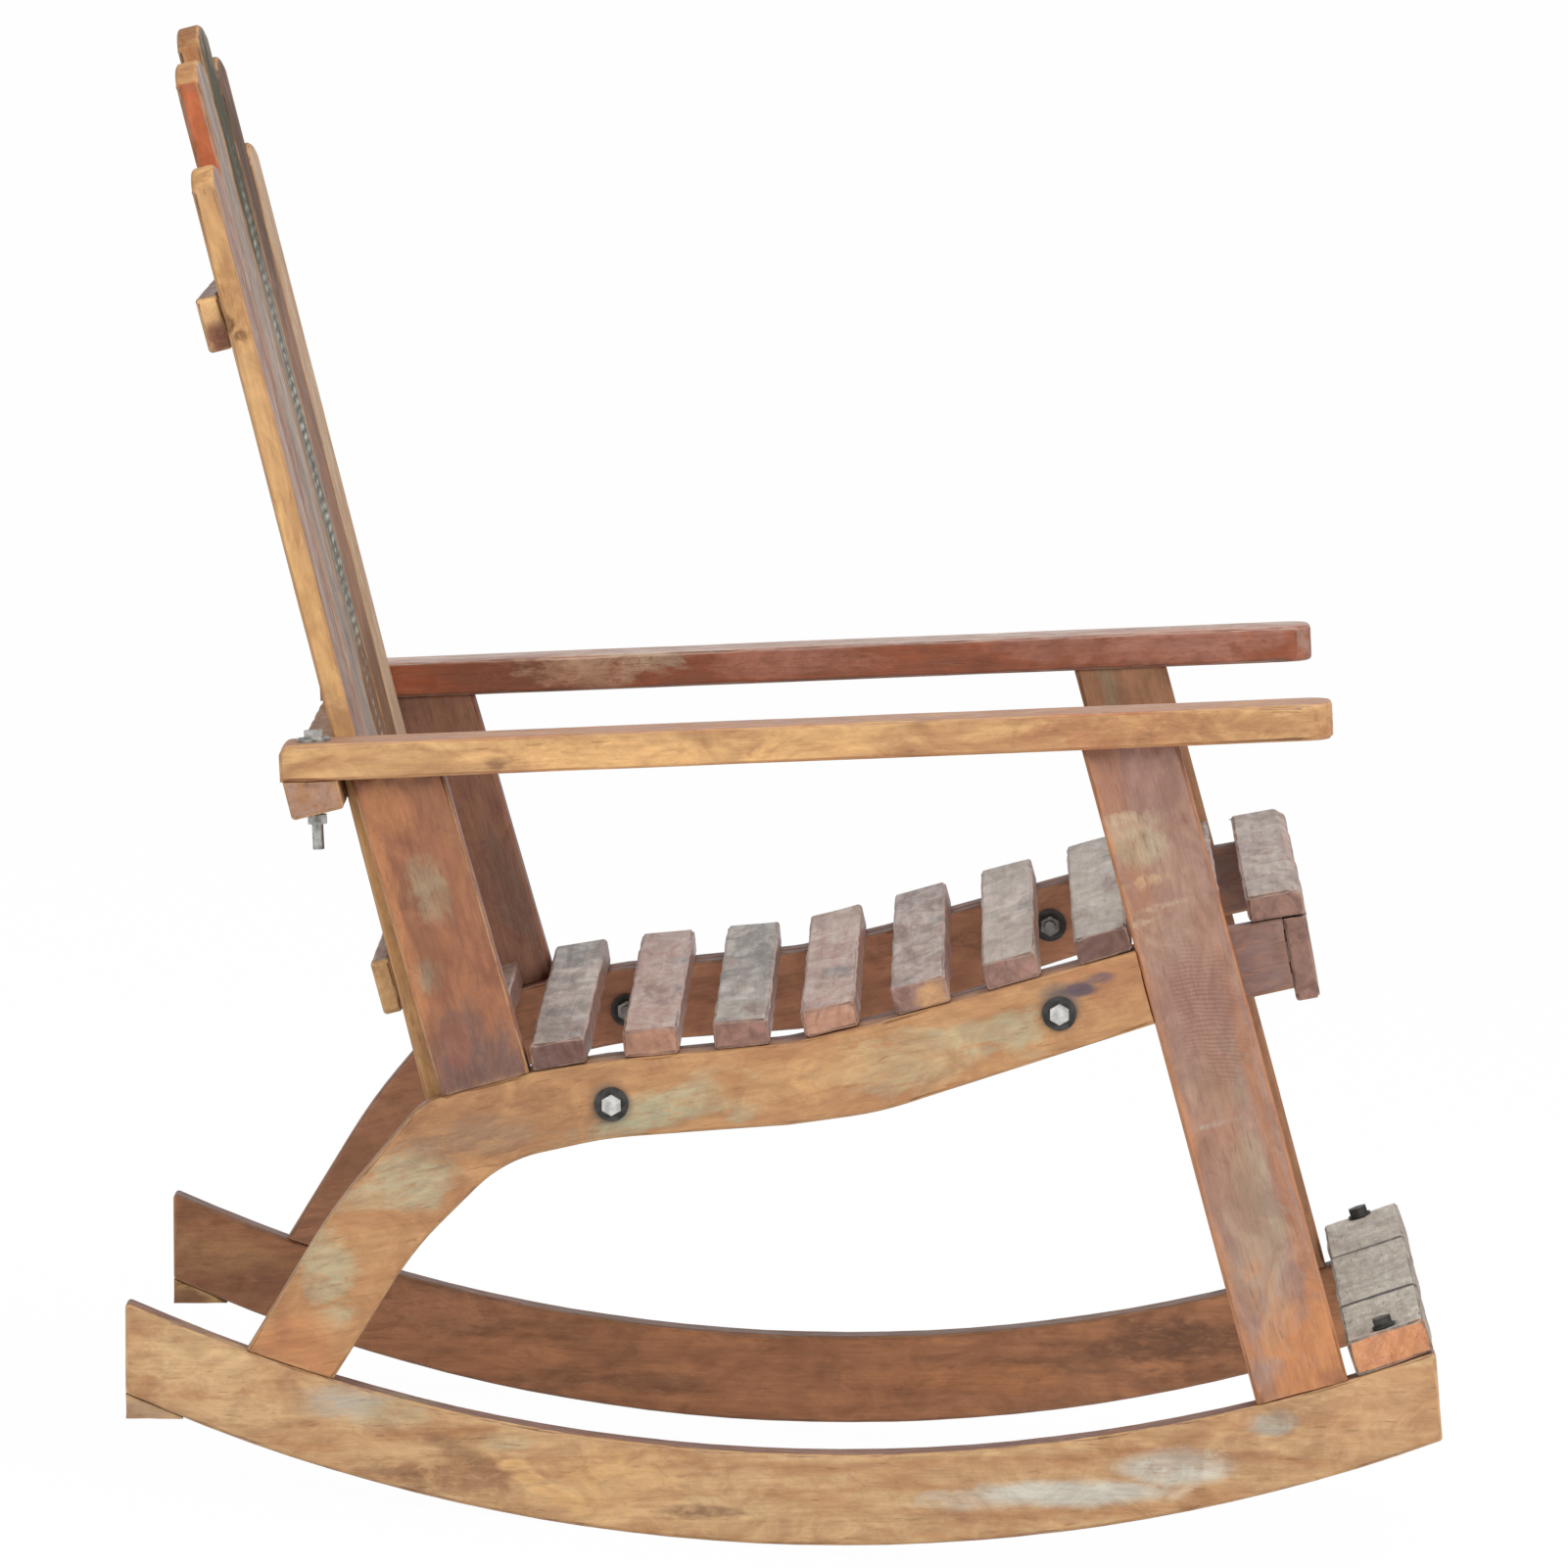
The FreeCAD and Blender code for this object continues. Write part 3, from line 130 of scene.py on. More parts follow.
PLUM = (0.25, 0.165, 0.15)
DARK_PLUM = (0.20, 0.125, 0.11)
BRIGHT_GOLD = (0.80, 0.47, 0.20)
RUSTY_HONEY = (0.50, 0.25, 0.115)
PALE_COPPER = (0.56, 0.34, 0.22)
PINK_RUST = (0.48, 0.20, 0.135)
DUSTY_RED = (0.44, 0.20, 0.145)
SALMON = (0.44, 0.24, 0.16)
DARK_SALMON = (0.28, 0.14, 0.09)
WARM_MAUVE = (0.32, 0.17, 0.13)
DARK_MAUVE = (0.17, 0.09, 0.07)
CORAL = (0.50, 0.28, 0.19)
DARK_CORAL = (0.31, 0.15, 0.095)
TARNISH = (0.06, 0.055, 0.035)
LEAD = (0.11, 0.105, 0.09)
DARK_UMBER = (0.17, 0.09, 0.05)
CHALK = (0.50, 0.50, 0.42)
PEAT = (0.10, 0.06, 0.04)
SAWN_GOLD = (0.80, 0.48, 0.22)
RUST_SPOT = (0.14, 0.06, 0.03)
# Dark grey towards which painted shade darkens the fittings on the chair's left side
FAR_SHADE_GREY = (0.09, 0.075, 0.065)
ZINC = (0.74, 0.73, 0.70)
SMUDGED_ZINC = (0.46, 0.45, 0.42)
DULL_ZINC = (0.46, 0.455, 0.43)
SMUDGED_DULL_ZINC = (0.22, 0.215, 0.20)
BLACKENED_STEEL = (0.07, 0.068, 0.065)
SMUDGED_BLACK = (0.035, 0.032, 0.03)
FLOOR_GREY = (0.86, 0.86, 0.855)
FLOOR_WHITE = (0.88, 0.88, 0.875)

# Factors by which drifting clouds darken and lighten the wood

CLOUD_DARK = (0.80, 0.74, 0.72)
CLOUD_LIGHT = (1.16, 1.15, 1.13)
SLAT_LIGHT = (1.25, 1.24, 1.22)
FOOTBOARD_LIGHT = (1.3, 1.3, 1.28)
FINE_DARK = (0.52, 0.45, 0.40)

# Worn boards
# Each board's CAD mesh is copied, cut into even cells and worn: see worn_board().
# CELL_ALONG and CELL_ACROSS are a cell's sides along and across the grain, CRISP
# is the angle past which an edge stays sharp, and DEEPEST the most that wear may
# take off, in millimetres. ORDER lists the axes with the grain's own one first.

COARSE = 1.0
CELL_ALONG = 8 * MM * COARSE
CELL_ACROSS = 4.2 * MM * COARSE
CRISP = math.radians(34)
DEEPEST = 1.7
WAVES = 18
WAVE_LENGTHS = (0.6, 1.8)
WELD = 0.01 * MM
ARRIS_SPAN = 0.20
RIM_GAIN = 1.7
ORDER = {"x": (0, 1, 2), "y": (1, 0, 2), "z": (2, 0, 1)}


def waves(spots, reach, seed):
    """Smooth random field, mostly between -1 and 1.

    It is a sum of plane waves, cos(k . p + phase), whose directions, lengths
    near reach and phases are random.
    """
    random = np.random.default_rng(seed)
    turns = random.normal(size=(3, WAVES))
    turns /= np.linalg.norm(turns, axis=0)
    turns *= math.tau / (reach * random.uniform(*WAVE_LENGTHS, WAVES))
    phases = random.uniform(0, math.tau, WAVES)
    return np.cos(spots @ turns + phases).sum(axis=1) / math.sqrt(WAVES)


def spread(values, pairs, rounds):
    """Relax values over a mesh: each round is the mean of a vertex and its neighbours."""
    count = len(values)
    share = np.bincount(pairs.ravel(), minlength=count) + 1.0
    for _ in range(rounds):
        total = values.copy()
        total += np.bincount(pairs[:, 0], values[pairs[:, 1]], count)
        total += np.bincount(pairs[:, 1], values[pairs[:, 0]], count)
        values = total / share
    return values


def read_array(items, name, width, kind=np.float32):
    """One row of numbers per item of a mesh."""
    numbers = np.empty(len(items) * width, kind)
    items.foreach_get(name, numbers)
    return numbers.reshape(-1, width)


def even_copy(node, turn, grain):
    """Copy of a node's mesh, merged, in the board's own axes, cut by three sets of planes."""
    source = NODES[node].data
    spots = read_array(source.vertices, "co", 3) @ np.array(turn.to_3x3()).T
    low, high = spots.min(axis=0), spots.max(axis=0)
    shape = bmesh.new()
    shape.from_mesh(source)
    bmesh.ops.remove_doubles(shape, verts=shape.verts, dist=WELD)
    bmesh.ops.transform(shape, matrix=turn, verts=shape.verts)
    for axis in range(3):
        step = CELL_ALONG if axis == ORDER[grain][0] else CELL_ACROSS
        normal = [float(axis == other) for other in range(3)]
        count = max(2, round(float(high[axis] - low[axis]) / step))
        for level in np.linspace(low[axis], high[axis], count + 1)[1:-1]:
            parts = shape.verts[:] + shape.edges[:] + shape.faces[:]
            spot = [float(level) * part for part in normal]
            bmesh.ops.bisect_plane(shape, geom=parts, plane_co=spot, plane_no=normal, dist=1e-7)
    mesh = bpy.data.meshes.new(node + "_board")
    shape.to_mesh(mesh)
    shape.free()
    return mesh


def worn_board(node, lean, grain, slot, wave=0.25, chip=0.7, reach=34, curved=False):
    """Weathered board in place of a CAD node.

    In the board's own axes an arris is where the normal points between two
    faces: one less the largest part of the normal, or for a curved board
    four times the product of nx squared and one less nx squared. This
    closeness spreads over the neighbours and is kept as the attribute rim.
    Each vertex moves inwards by wave * (1 + slow waves) / 2, and on an
    arris also by chip * closeness * (quick waves above zero).
    """
    turn = Matrix.Rotation(math.radians(lean), 4, "X")
    mesh = even_copy(node, turn, grain)
    pairs = read_array(mesh.edges, "vertices", 2, np.int32)
    spots = read_array(mesh.vertices, "co", 3).astype(float)
    normals = read_array(mesh.vertices, "normal", 3)
    if curved:
        square = normals[:, 0] ** 2
        arris = 4 * square * (1 - square)
    else:
        arris = (1 - np.abs(normals).max(axis=1)) / ARRIS_SPAN
    arris = np.clip(arris, 0, 1)
    rim = spread(arris, pairs, 2)
    core = spread(arris, pairs, 1)
    seed = sum(map(ord, node))
    slow = 0.5 + 0.5 * np.clip(waves(spots, 3 * reach * MM, seed), -1, 1)
    quick = np.clip(waves(spots, reach * MM, seed + 1), 0, 1.6)
    quick += 0.4 * np.clip(waves(spots, 0.4 * reach * MM, seed + 2), 0, 1.5)
    inwards = np.minimum(wave * slow + chip * core * quick, DEEPEST)
    spots -= normals * inwards[:, None] * MM
    spots = spots @ np.array(turn.to_3x3())
    mesh.vertices.foreach_set("co", spots.astype(np.float32).ravel())
    worn = mesh.attributes.new("rim", "FLOAT", "POINT")
    worn.data.foreach_set("value", np.clip(rim * RIM_GAIN, 0, 1).astype(np.float32))
    mesh.shade_smooth()
    mesh.set_sharp_from_angle(angle=CRISP)
    mesh.update()
    board = bpy.data.objects.new(node + "_board", mesh)
    bpy.context.scene.collection.objects.link(board)
    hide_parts(node)
    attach(board, "root")
    return board


# Node helpers


def feed(tree, socket, value):
    """Link a socket to another one, or set it to a plain value."""
    if isinstance(value, bpy.types.NodeSocket):
        tree.links.new(value, socket)
    elif socket.type == "RGBA":
        socket.default_value = (*value, 1)
    else:
        socket.default_value = value


def calc(tree, operation, *values, clamp=False):
    """Arithmetic on numbers or sockets."""
    node = tree.nodes.new("ShaderNodeMath")
    node.operation = operation
    node.use_clamp = clamp
    for socket, value in zip(node.inputs, values):
        feed(tree, socket, value)
    return node.outputs[0]


def vector_calc(tree, operation, *values):
    """Arithmetic on places and directions."""
    node = tree.nodes.new("ShaderNodeVectorMath")
    node.operation = operation
    for socket, value in zip(node.inputs, values):
        feed(tree, socket, value)
    return node.outputs["Value" if operation in ("LENGTH", "DISTANCE") else "Vector"]


def ramped(tree, value, low, high, bottom=0.0, top=1.0):
    """Smooth step of a value from one level to another."""
    node = tree.nodes.new("ShaderNodeMapRange")
    node.interpolation_type = "SMOOTHSTEP"
    for name, number in (
        ("Value", value),
        ("From Min", low),
        ("From Max", high),
        ("To Min", bottom),
        ("To Max", top),
    ):
        feed(tree, node.inputs[name], number)
    return node.outputs["Result"]


def mixed(tree, factor, first, second, blend="MIX"):
    """Mix of two colours."""
    node = tree.nodes.new("ShaderNodeMix")
    node.data_type = "RGBA"
    node.blend_type = blend
    feed(tree, node.inputs[0], factor)
    feed(tree, node.inputs[6], first)
    feed(tree, node.inputs[7], second)
    return node.outputs[2]


def noise(tree, place, scale, detail=3.0, rough=0.5, distort=0.0):
    """Cloudy noise between 0 and 1, with scale waves to a metre."""
    node = tree.nodes.new("ShaderNodeTexNoise")
    feed(tree, node.inputs["Vector"], place)
    node.inputs["Scale"].default_value = scale
    node.inputs["Detail"].default_value = detail
    node.inputs["Roughness"].default_value = rough
    node.inputs["Distortion"].default_value = distort
    return node.outputs["Fac"]


def split(tree, vector):
    """The three parts of a place or direction."""
    node = tree.nodes.new("ShaderNodeSeparateXYZ")
    feed(tree, node.inputs[0], vector)
    return node.outputs


def merged(tree, *parts):
    """Place or direction from its three parts."""
    node = tree.nodes.new("ShaderNodeCombineXYZ")
    for socket, value in zip(node.inputs, parts):
        feed(tree, socket, value)
    return node.outputs[0]


def squeezed(tree, place, along, across=1.0):
    """Place with its first axis, the grain's, shortened, so that noise is drawn out."""
    return vector_calc(tree, "MULTIPLY", place, (along, across, 1.0))


def turned(tree, vector, lean, kind="POINT"):
    """A place or direction in the leaning board's own axes."""
    node = tree.nodes.new("ShaderNodeMapping")
    node.vector_type = kind
    feed(tree, node.inputs["Vector"], vector)
    node.inputs["Rotation"].default_value = (math.radians(lean), 0, 0)
    return node.outputs[0]


def effect(name, inputs, outputs):
    """New shader node group with its named sockets: returns tree, inputs and output node."""
    tree = bpy.data.node_groups.new(name, "ShaderNodeTree")
    kinds = {"value": "NodeSocketFloat", "place": "NodeSocketVector", "colour": "NodeSocketColor"}
    for label, kind in inputs:
        tree.interface.new_socket(label, in_out="INPUT", socket_type=kinds[kind])
    for label, kind in outputs:
        tree.interface.new_socket(label, in_out="OUTPUT", socket_type=kinds[kind])
    start = tree.nodes.new("NodeGroupInput")
    end = tree.nodes.new("NodeGroupOutput")
    return tree, start.outputs, end.inputs


def weighed(tree, marks, shares, start=0.0, clamp=False):
    """A start value plus each named mark times its share."""
    total = start
    for count, (name, share) in enumerate(shares.items(), 1):
        last = count == len(shares)
        total = calc(tree, "MULTIPLY_ADD", marks[name], share, total, clamp=clamp and last)
    return total


def placed(tree, group, **values):
    """Put a group into a tree, its inputs named by words joined with underscores."""
    node = tree.nodes.new("ShaderNodeGroup")
    node.node_tree = group
    for label, value in values.items():
        feed(tree, node.inputs[label.replace("_", " ")], value)
    return node.outputs


# Effects that the finishes share


# Each layer of the grain: how far it is drawn out along the grain, then the
# scale, detail, roughness and distortion of its noise, and the levels between
# which it rises from 0 to 1.
GRAIN_LAYERS = {
    "Band": (0.22, 30, 4, 0.58, 0.8, 0.34, 0.66),
    "Streak": (0.10, 150, 5, 0.62, 0.6, 0.34, 0.68),
    "Fine": (0.07, 480, 3, 0.6, 0.0, 0.42, 0.70),
    "Pores": (0.14, 300, 3, 0.55, 0.0, 0.64, 0.71),
    "Mottle": (0.65, 52, 6, 0.66, 1.2, 0.36, 0.64),
    "Stain": (0.5, 13, 6, 0.60, 1.4, 0.40, 0.66),
    "Cloud": (0.55, 34, 7, 0.70, 1.8, 0.32, 0.68),
}
RING_WARP = 0.085
RING_SHARPNESS = 2.4


def make_grain():
    """Long grain: growth-ring figure and the layers of GRAIN_LAYERS.

    The first axis of Place runs along the grain and is squeezed, so round
    noise turns into streaks. The figure is the sine of a warped distance
    from the board's heart, which gives the nested arches of sawn boards.
    """
    layers = [(name, "value") for name in GRAIN_LAYERS]
    tree, given, out = effect(
        "board_grain",
        [("Place", "place"), ("Figure Pitch", "value")],
        [("Figure", "value"), *layers],
    )
    place = given["Place"]
    warp = noise(tree, squeezed(tree, place, 0.30), 10, 4, 0.55)
    across = vector_calc(tree, "LENGTH", squeezed(tree, place, 0.02))
    path = calc(tree, "MULTIPLY_ADD", warp, RING_WARP, across)
    turn = calc(tree, "MULTIPLY", calc(tree, "DIVIDE", path, given["Figure Pitch"]), math.tau)
    ring = calc(tree, "MULTIPLY_ADD", calc(tree, "SINE", turn), 0.5, 0.5)
    feed(tree, out["Figure"], calc(tree, "POWER", ring, RING_SHARPNESS))
    for name, (along, scale, detail, rough, distort, low, high) in GRAIN_LAYERS.items():
        layer = noise(tree, squeezed(tree, place, along), scale, detail, rough, distort)
        feed(tree, out[name], ramped(tree, layer, low, high))
    return tree


# A patch is whole up to PATCH_FULL of its radii and gone at PATCH_END. TEAR is
# how far noise moves its border, and FINE_TEAR the share of fine noise in it.
PATCH_FULL = 0.50
PATCH_END = 1.20
TEAR = 2.2
FINE_TEAR = 0.75
BARE_SHARE = 0.45


def make_patch():
    """Worn patch of another colour round a centre.

    The distance from the centre, each axis in patch radii, is made ragged by
    coarse and fine noise, and turned from 1 inside to 0 outside over a soft
    border. Flecks of bare wood break it up, more so where it is more ragged.
    """
    tree, given, out = effect(
        "worn_patch",
        [("Place", "place"), ("Centre", "place"), ("Radii", "place"), ("Ragged", "value")],
        [("Mask", "value")],
    )
    off = vector_calc(tree, "SUBTRACT", given["Place"], given["Centre"])
    span = vector_calc(tree, "LENGTH", vector_calc(tree, "DIVIDE", off, given["Radii"]))
    coarse = noise(tree, squeezed(tree, given["Place"], 0.45), 42, 5, 0.6, 0.4)
    fine = noise(tree, squeezed(tree, given["Place"], 0.40), 130, 7, 0.72, 0.8)
    torn = calc(tree, "MULTIPLY_ADD", calc(tree, "SUBTRACT", fine, 0.5), FINE_TEAR, coarse)
    torn = calc(tree, "MULTIPLY", calc(tree, "SUBTRACT", torn, 0.5), given["Ragged"])
    edge = calc(tree, "ADD", span, calc(tree, "MULTIPLY", torn, TEAR))
    inside = ramped(tree, edge, PATCH_FULL, PATCH_END, 1.0, 0.0)
    kept = calc(tree, "MULTIPLY_ADD", given["Ragged"], -BARE_SHARE, 1.0)
    bare = ramped(tree, fine, 0.36, 0.54, kept, 1.0)
    feed(tree, out["Mask"], calc(tree, "MULTIPLY", inside, bare))
    return tree


SAW_JITTER = 0.006
SAW_FADE = 0.14


def make_saw():
    """Marks of a circular saw: arcs about a far centre, broken by noise.

    The height is the sine of the distance from the centre, in pitches.
    """
    tree, given, out = effect(
        "saw_marks",
        [("Place", "place"), ("Centre", "place"), ("Pitch", "value"), ("Broken", "value")],
        [("Height", "value")],
    )
    reach = vector_calc(tree, "DISTANCE", given["Place"], given["Centre"])
    jitter = calc(tree, "MULTIPLY", noise(tree, given["Place"], 55, 3), SAW_JITTER)
    path = calc(tree, "DIVIDE", calc(tree, "ADD", reach, jitter), given["Pitch"])
    turn = calc(tree, "MULTIPLY", path, math.tau)
    ridge = calc(tree, "MULTIPLY_ADD", calc(tree, "SINE", turn), 0.5, 0.5)
    cut = noise(tree, given["Place"], 48, 5, 0.75)
    shown = ramped(tree, cut, given["Broken"], calc(tree, "ADD", given["Broken"], SAW_FADE))
    feed(tree, out["Height"], calc(tree, "MULTIPLY", ridge, shown))
    return tree


def make_edge_wear():
    """Rubbed arrises and the dirt beside them, from the closeness to an arris."""
    tree, given, out = effect(
        "edge_wear",
        [("Rim", "value"), ("Place", "place")],
        [("Worn", "value"), ("Grime", "value")],
    )
    rubbed = noise(tree, squeezed(tree, given["Place"], 0.35), 70, 5, 0.68)
    core = ramped(tree, given["Rim"], 0.55, 0.95)
    shown = ramped(tree, rubbed, 0.40, 0.58, 0.15, 1.0)
    feed(tree, out["Worn"], calc(tree, "MULTIPLY", core, shown))
    near_edge = ramped(tree, given["Rim"], 0.10, 0.42)
    dirt = noise(tree, squeezed(tree, given["Place"], 0.3), 34, 5, 0.66)
    feed(tree, out["Grime"], calc(tree, "MULTIPLY", near_edge, ramped(tree, dirt, 0.38, 0.64)))
    return tree


def make_steel_marks():
    """Handled steel: smudges, fine scratches and spots of rust."""
    tree, given, out = effect(
        "steel_marks",
        [("Place", "place")],
        [("Smudge", "value"), ("Scratch", "value"), ("Rust", "value")],
    )
    hands = noise(tree, given["Place"], 160, 4, 0.6)
    spots = noise(tree, given["Place"], 260, 5, 0.7)
    feed(tree, out["Smudge"], ramped(tree, hands, 0.35, 0.65))
    feed(tree, out["Scratch"], noise(tree, given["Place"], 1500, 3, 0.6))
    feed(tree, out["Rust"], ramped(tree, spots, 0.60, 0.72))
    return tree


GRAIN = make_grain()
PATCH = make_patch()
SAW = make_saw()
EDGE_WEAR = make_edge_wear()
STEEL_MARKS = make_steel_marks()

# Boards
# Each board has a lean: the tilt of its own up direction back from upright.
# grain names the board's own axis that its grain follows: x across the chair,
# y towards its rear, z up. broad names the axis square to its widest faces.
# The three together are its axes.

# How a board looks where its own call says nothing: ring pitch in millimetres,
# place of the rings' centre in metres, how far the pattern is drawn out, shares
# of band, streak, figure and mottle in the tone, then the colours and strengths
# of stain, clouds, fine lines, pores, dirt beside the arrises and rubbed edges,
# saw marks, roughness, reflection and depth of the relief.

PLAIN_LOOK = {
    "pitch": 9,
    "heart": (0.37, 0.02, 0.03),
    "stretch": 1.0,
    "tones": (0.34, 0.24, 0.22, 0.24),
    "stain": None,
    "cloud": 0.8,
    "shade": CLOUD_DARK,
    "light": CLOUD_LIGHT,
    "fine": 0.22,
    "pores": 0.35,
    "pore_colour": UMBER,
    "grime": 0.55,
    "grime_colour": UMBER,
    "wear": 0.6,
    "worn": GOLD,
    "saw": None,
    "gloss": 0.40,
    "shine": 0.42,
    "relief": 0.6,
}
ROUGH_SHARES = {"Streak": 0.12, "Mottle": 0.14, "Pores": 0.15}
HEIGHT_SHARES = {"Streak": 0.35, "Fine": -0.25, "Pores": -0.6, "Mottle": 0.5}
END_SHARES = {"Figure": 0.25, "Mottle": 0.7}
SAW_HEIGHT = 1.4
RELIEF_DEPTH = 0.5 * MM
FACE_FROM = 0.62
FACE_TO = 0.80


def new_material(name):
    """Empty material with its shader linked to the output."""
    material = bpy.data.materials.new(name)
    material.use_nodes = True
    tree = material.node_tree
    tree.nodes.clear()
    shader = tree.nodes.new("ShaderNodeBsdfPrincipled")
    output = tree.nodes.new("ShaderNodeOutputMaterial")
    tree.links.new(shader.outputs[0], output.inputs["Surface"])
    return material, tree, shader


def relief(tree, shader, height, strength, depth):
    """Bump of a shader's surface."""
    bump = tree.nodes.new("ShaderNodeBump")
    bump.inputs["Strength"].default_value = strength
    bump.inputs["Distance"].default_value = depth
    feed(tree, bump.inputs["Height"], height)
    tree.links.new(bump.outputs[0], shader.inputs["Normal"])


def grain_place(point, grain, lean):
    """A point of the chair in the board's grain axes, as the material sees it."""
    level = Matrix.Rotation(math.radians(lean), 3, "X") @ Vector(point)
    return Vector([level[index] for index in ORDER[grain]])


def patch_radii(radii, broad):
    """Radii along, across and through the grain, in the order of the grain axes."""
    along, across, through = [radius * MM for radius in radii]
    return (along, through, across) if broad == "x" else (along, across, through)


def patch_mask(tree, place, axes, point, radii, ragged):
    """Where a patch round a point of the chair covers the board."""
    grain, lean, broad = axes
    centre = tuple(grain_place(point, grain, lean))
    radii = patch_radii(radii, broad)
    return placed(tree, PATCH, Place=place, Centre=centre, Radii=radii, Ragged=ragged)["Mask"]


def saw_cuts(tree, place, axes, saw):
    """Saw marks inside their own patch of the board."""
    grain, lean, _ = axes
    cuts = placed(
        tree,
        SAW,
        Place=place,
        Centre=tuple(grain_place(saw["centre"], grain, lean)),
        Pitch=saw["pitch"] * MM,
        Broken=saw["broken"],
    )["Height"]
    zone = patch_mask(tree, place, axes, saw["spot"], saw["radii"], 1.0)
    return calc(tree, "MULTIPLY", cuts, zone)


def tinted(tree, colour, mask, strength, shade, blend="MIX"):
    """Colour with a shade laid over it where the mask is, as strongly as told."""
    return mixed(tree, calc(tree, "MULTIPLY", mask, strength), colour, shade, blend)


def board_finish(node, grain, lean, broad, faces, edges, ends, patches=(), **own_look):
    """Old board: two-tone grain on each kind of face, stains, patches, saw marks and wear.

    faces, edges and ends are (pale, deep) colours of the broad faces, the
    narrow faces and the end grain. A patch is (point, radii along, across and
    through the grain in mm, colour, strength, raggedness).
    """
    look = {**PLAIN_LOOK, **own_look}
    axes = grain, lean, broad
    material, tree, shader = new_material(node + "_wood")
    coords = tree.nodes.new("ShaderNodeTexCoord")
    spots = split(tree, turned(tree, coords.outputs["Object"], lean))
    place = merged(tree, *[spots[index] for index in ORDER[grain]])
    low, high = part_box(node)
    heart_place = grain_place((low + high) / 2, grain, lean) + Vector(look["heart"])
    moved = vector_calc(tree, "SUBTRACT", place, tuple(heart_place))
    moved = squeezed(tree, moved, look["stretch"])
    marks = placed(tree, GRAIN, Place=moved, Figure_Pitch=look["pitch"] * MM)

    facing = turned(tree, coords.outputs["Normal"], lean, "VECTOR")
    letters = dict(zip("xyz", split(tree, vector_calc(tree, "ABSOLUTE", facing))))
    face_mask = ramped(tree, letters[broad], FACE_FROM, FACE_TO)
    end_mask = ramped(tree, letters[grain], FACE_FROM, FACE_TO)

    shares = dict(zip(("Band", "Streak", "Figure", "Mottle"), look["tones"]))
    tone = weighed(tree, marks, shares, clamp=True)
    colour = mixed(tree, face_mask, mixed(tree, tone, *edges), mixed(tree, tone, *faces))
    if look["stain"]:
        shade, strength = look["stain"]
        colour = tinted(tree, colour, marks["Stain"], strength, shade)

    # End grain has no long streaks.
    rings = weighed(tree, marks, END_SHARES, clamp=True)
    colour = mixed(tree, end_mask, colour, mixed(tree, rings, *ends))

    for point, radii, shade, strength, ragged in patches:
        mask = patch_mask(tree, place, axes, point, radii, ragged)
        colour = tinted(tree, colour, mask, strength, shade)

    # Clouds of lighter and darker, warmer and cooler wood, then fine lines and pores.
    cloud = mixed(tree, marks["Cloud"], look["shade"], look["light"])
    colour = mixed(tree, look["cloud"], colour, cloud, "MULTIPLY")
    colour = tinted(tree, colour, marks["Fine"], look["fine"], FINE_DARK, "MULTIPLY")
    colour = tinted(tree, colour, marks["Pores"], look["pores"], look["pore_colour"])

    rim = tree.nodes.new("ShaderNodeAttribute")
    rim.attribute_name = "rim"
    edge = placed(tree, EDGE_WEAR, Rim=rim.outputs["Fac"], Place=moved)
    colour = tinted(tree, colour, edge["Grime"], look["grime"], look["grime_colour"])
    colour = tinted(tree, colour, edge["Worn"], look["wear"], look["worn"])

    height = weighed(tree, marks, HEIGHT_SHARES)
    saw = look["saw"]
    if saw:
        cuts = saw_cuts(tree, place, axes, saw)
        height = calc(tree, "MULTIPLY_ADD", cuts, SAW_HEIGHT * saw["strength"], height)
        tint = calc(tree, "MULTIPLY", calc(tree, "MULTIPLY", cuts, saw["strength"]), face_mask)
        colour = mixed(tree, tint, colour, saw["shade"])

    feed(tree, shader.inputs["Base Color"], colour)
    rough = weighed(tree, marks, ROUGH_SHARES, look["gloss"], clamp=True)
    feed(tree, shader.inputs["Roughness"], rough)
    shader.inputs["Specular IOR Level"].default_value = look["shine"]
    relief(tree, shader, height, look["relief"], RELIEF_DEPTH)
    return material


def board(node, slot, grain, lean, broad, faces, edges, ends, patches=(), shape=None, **look):
    """Worn board with its own finish."""
    piece = worn_board(node, lean, grain, slot, **(shape or {}))
    material = board_finish(node, grain, lean, broad, faces, edges, ends, patches, **look)
    piece.data.materials.clear()
    piece.data.materials.append(material)


def dress(node, material):
    """Give a CAD node its finish."""
    slots = NODES[node].data.materials
    slots.clear()
    slots.append(material)


# Sideways places of the faces that carry marks, in millimetres from the middle

NEAR = -296.5
FAR = 264
ARM_NEAR = -316
INNER_NEAR = -268
INNER_FAR = 250

# Leans of the boards, in degrees

RAIL_LEAN = LEAN + 12
LEG_LEAN = LEAN + 15
POST_LEAN = LEAN + 15.85
ARM_LEAN = LEAN + 2.4
BACK_LEAN = LEAN + 14.2
NOSE_LEAN = LEAN + 10.12
FOOTBOARD_LEAN = LEAN + 18.6

random = np.random.default_rng(48)


def heart():
    """Place of a board's ring centre, away from its middle, in metres."""
    return (random.uniform(-0.5, 0.5), random.uniform(0.02, 0.09), random.uniform(-0.06, 0.06))


def marks_at(side, rows):
    """Patches at one sideways place.

    A row is reach, height, radii, colour, strength and raggedness.
    """
    return [(on_chair(side, reach, height), *rest) for reach, height, *rest in rows]


# Marks on the boards of the near side, each over the ones before it

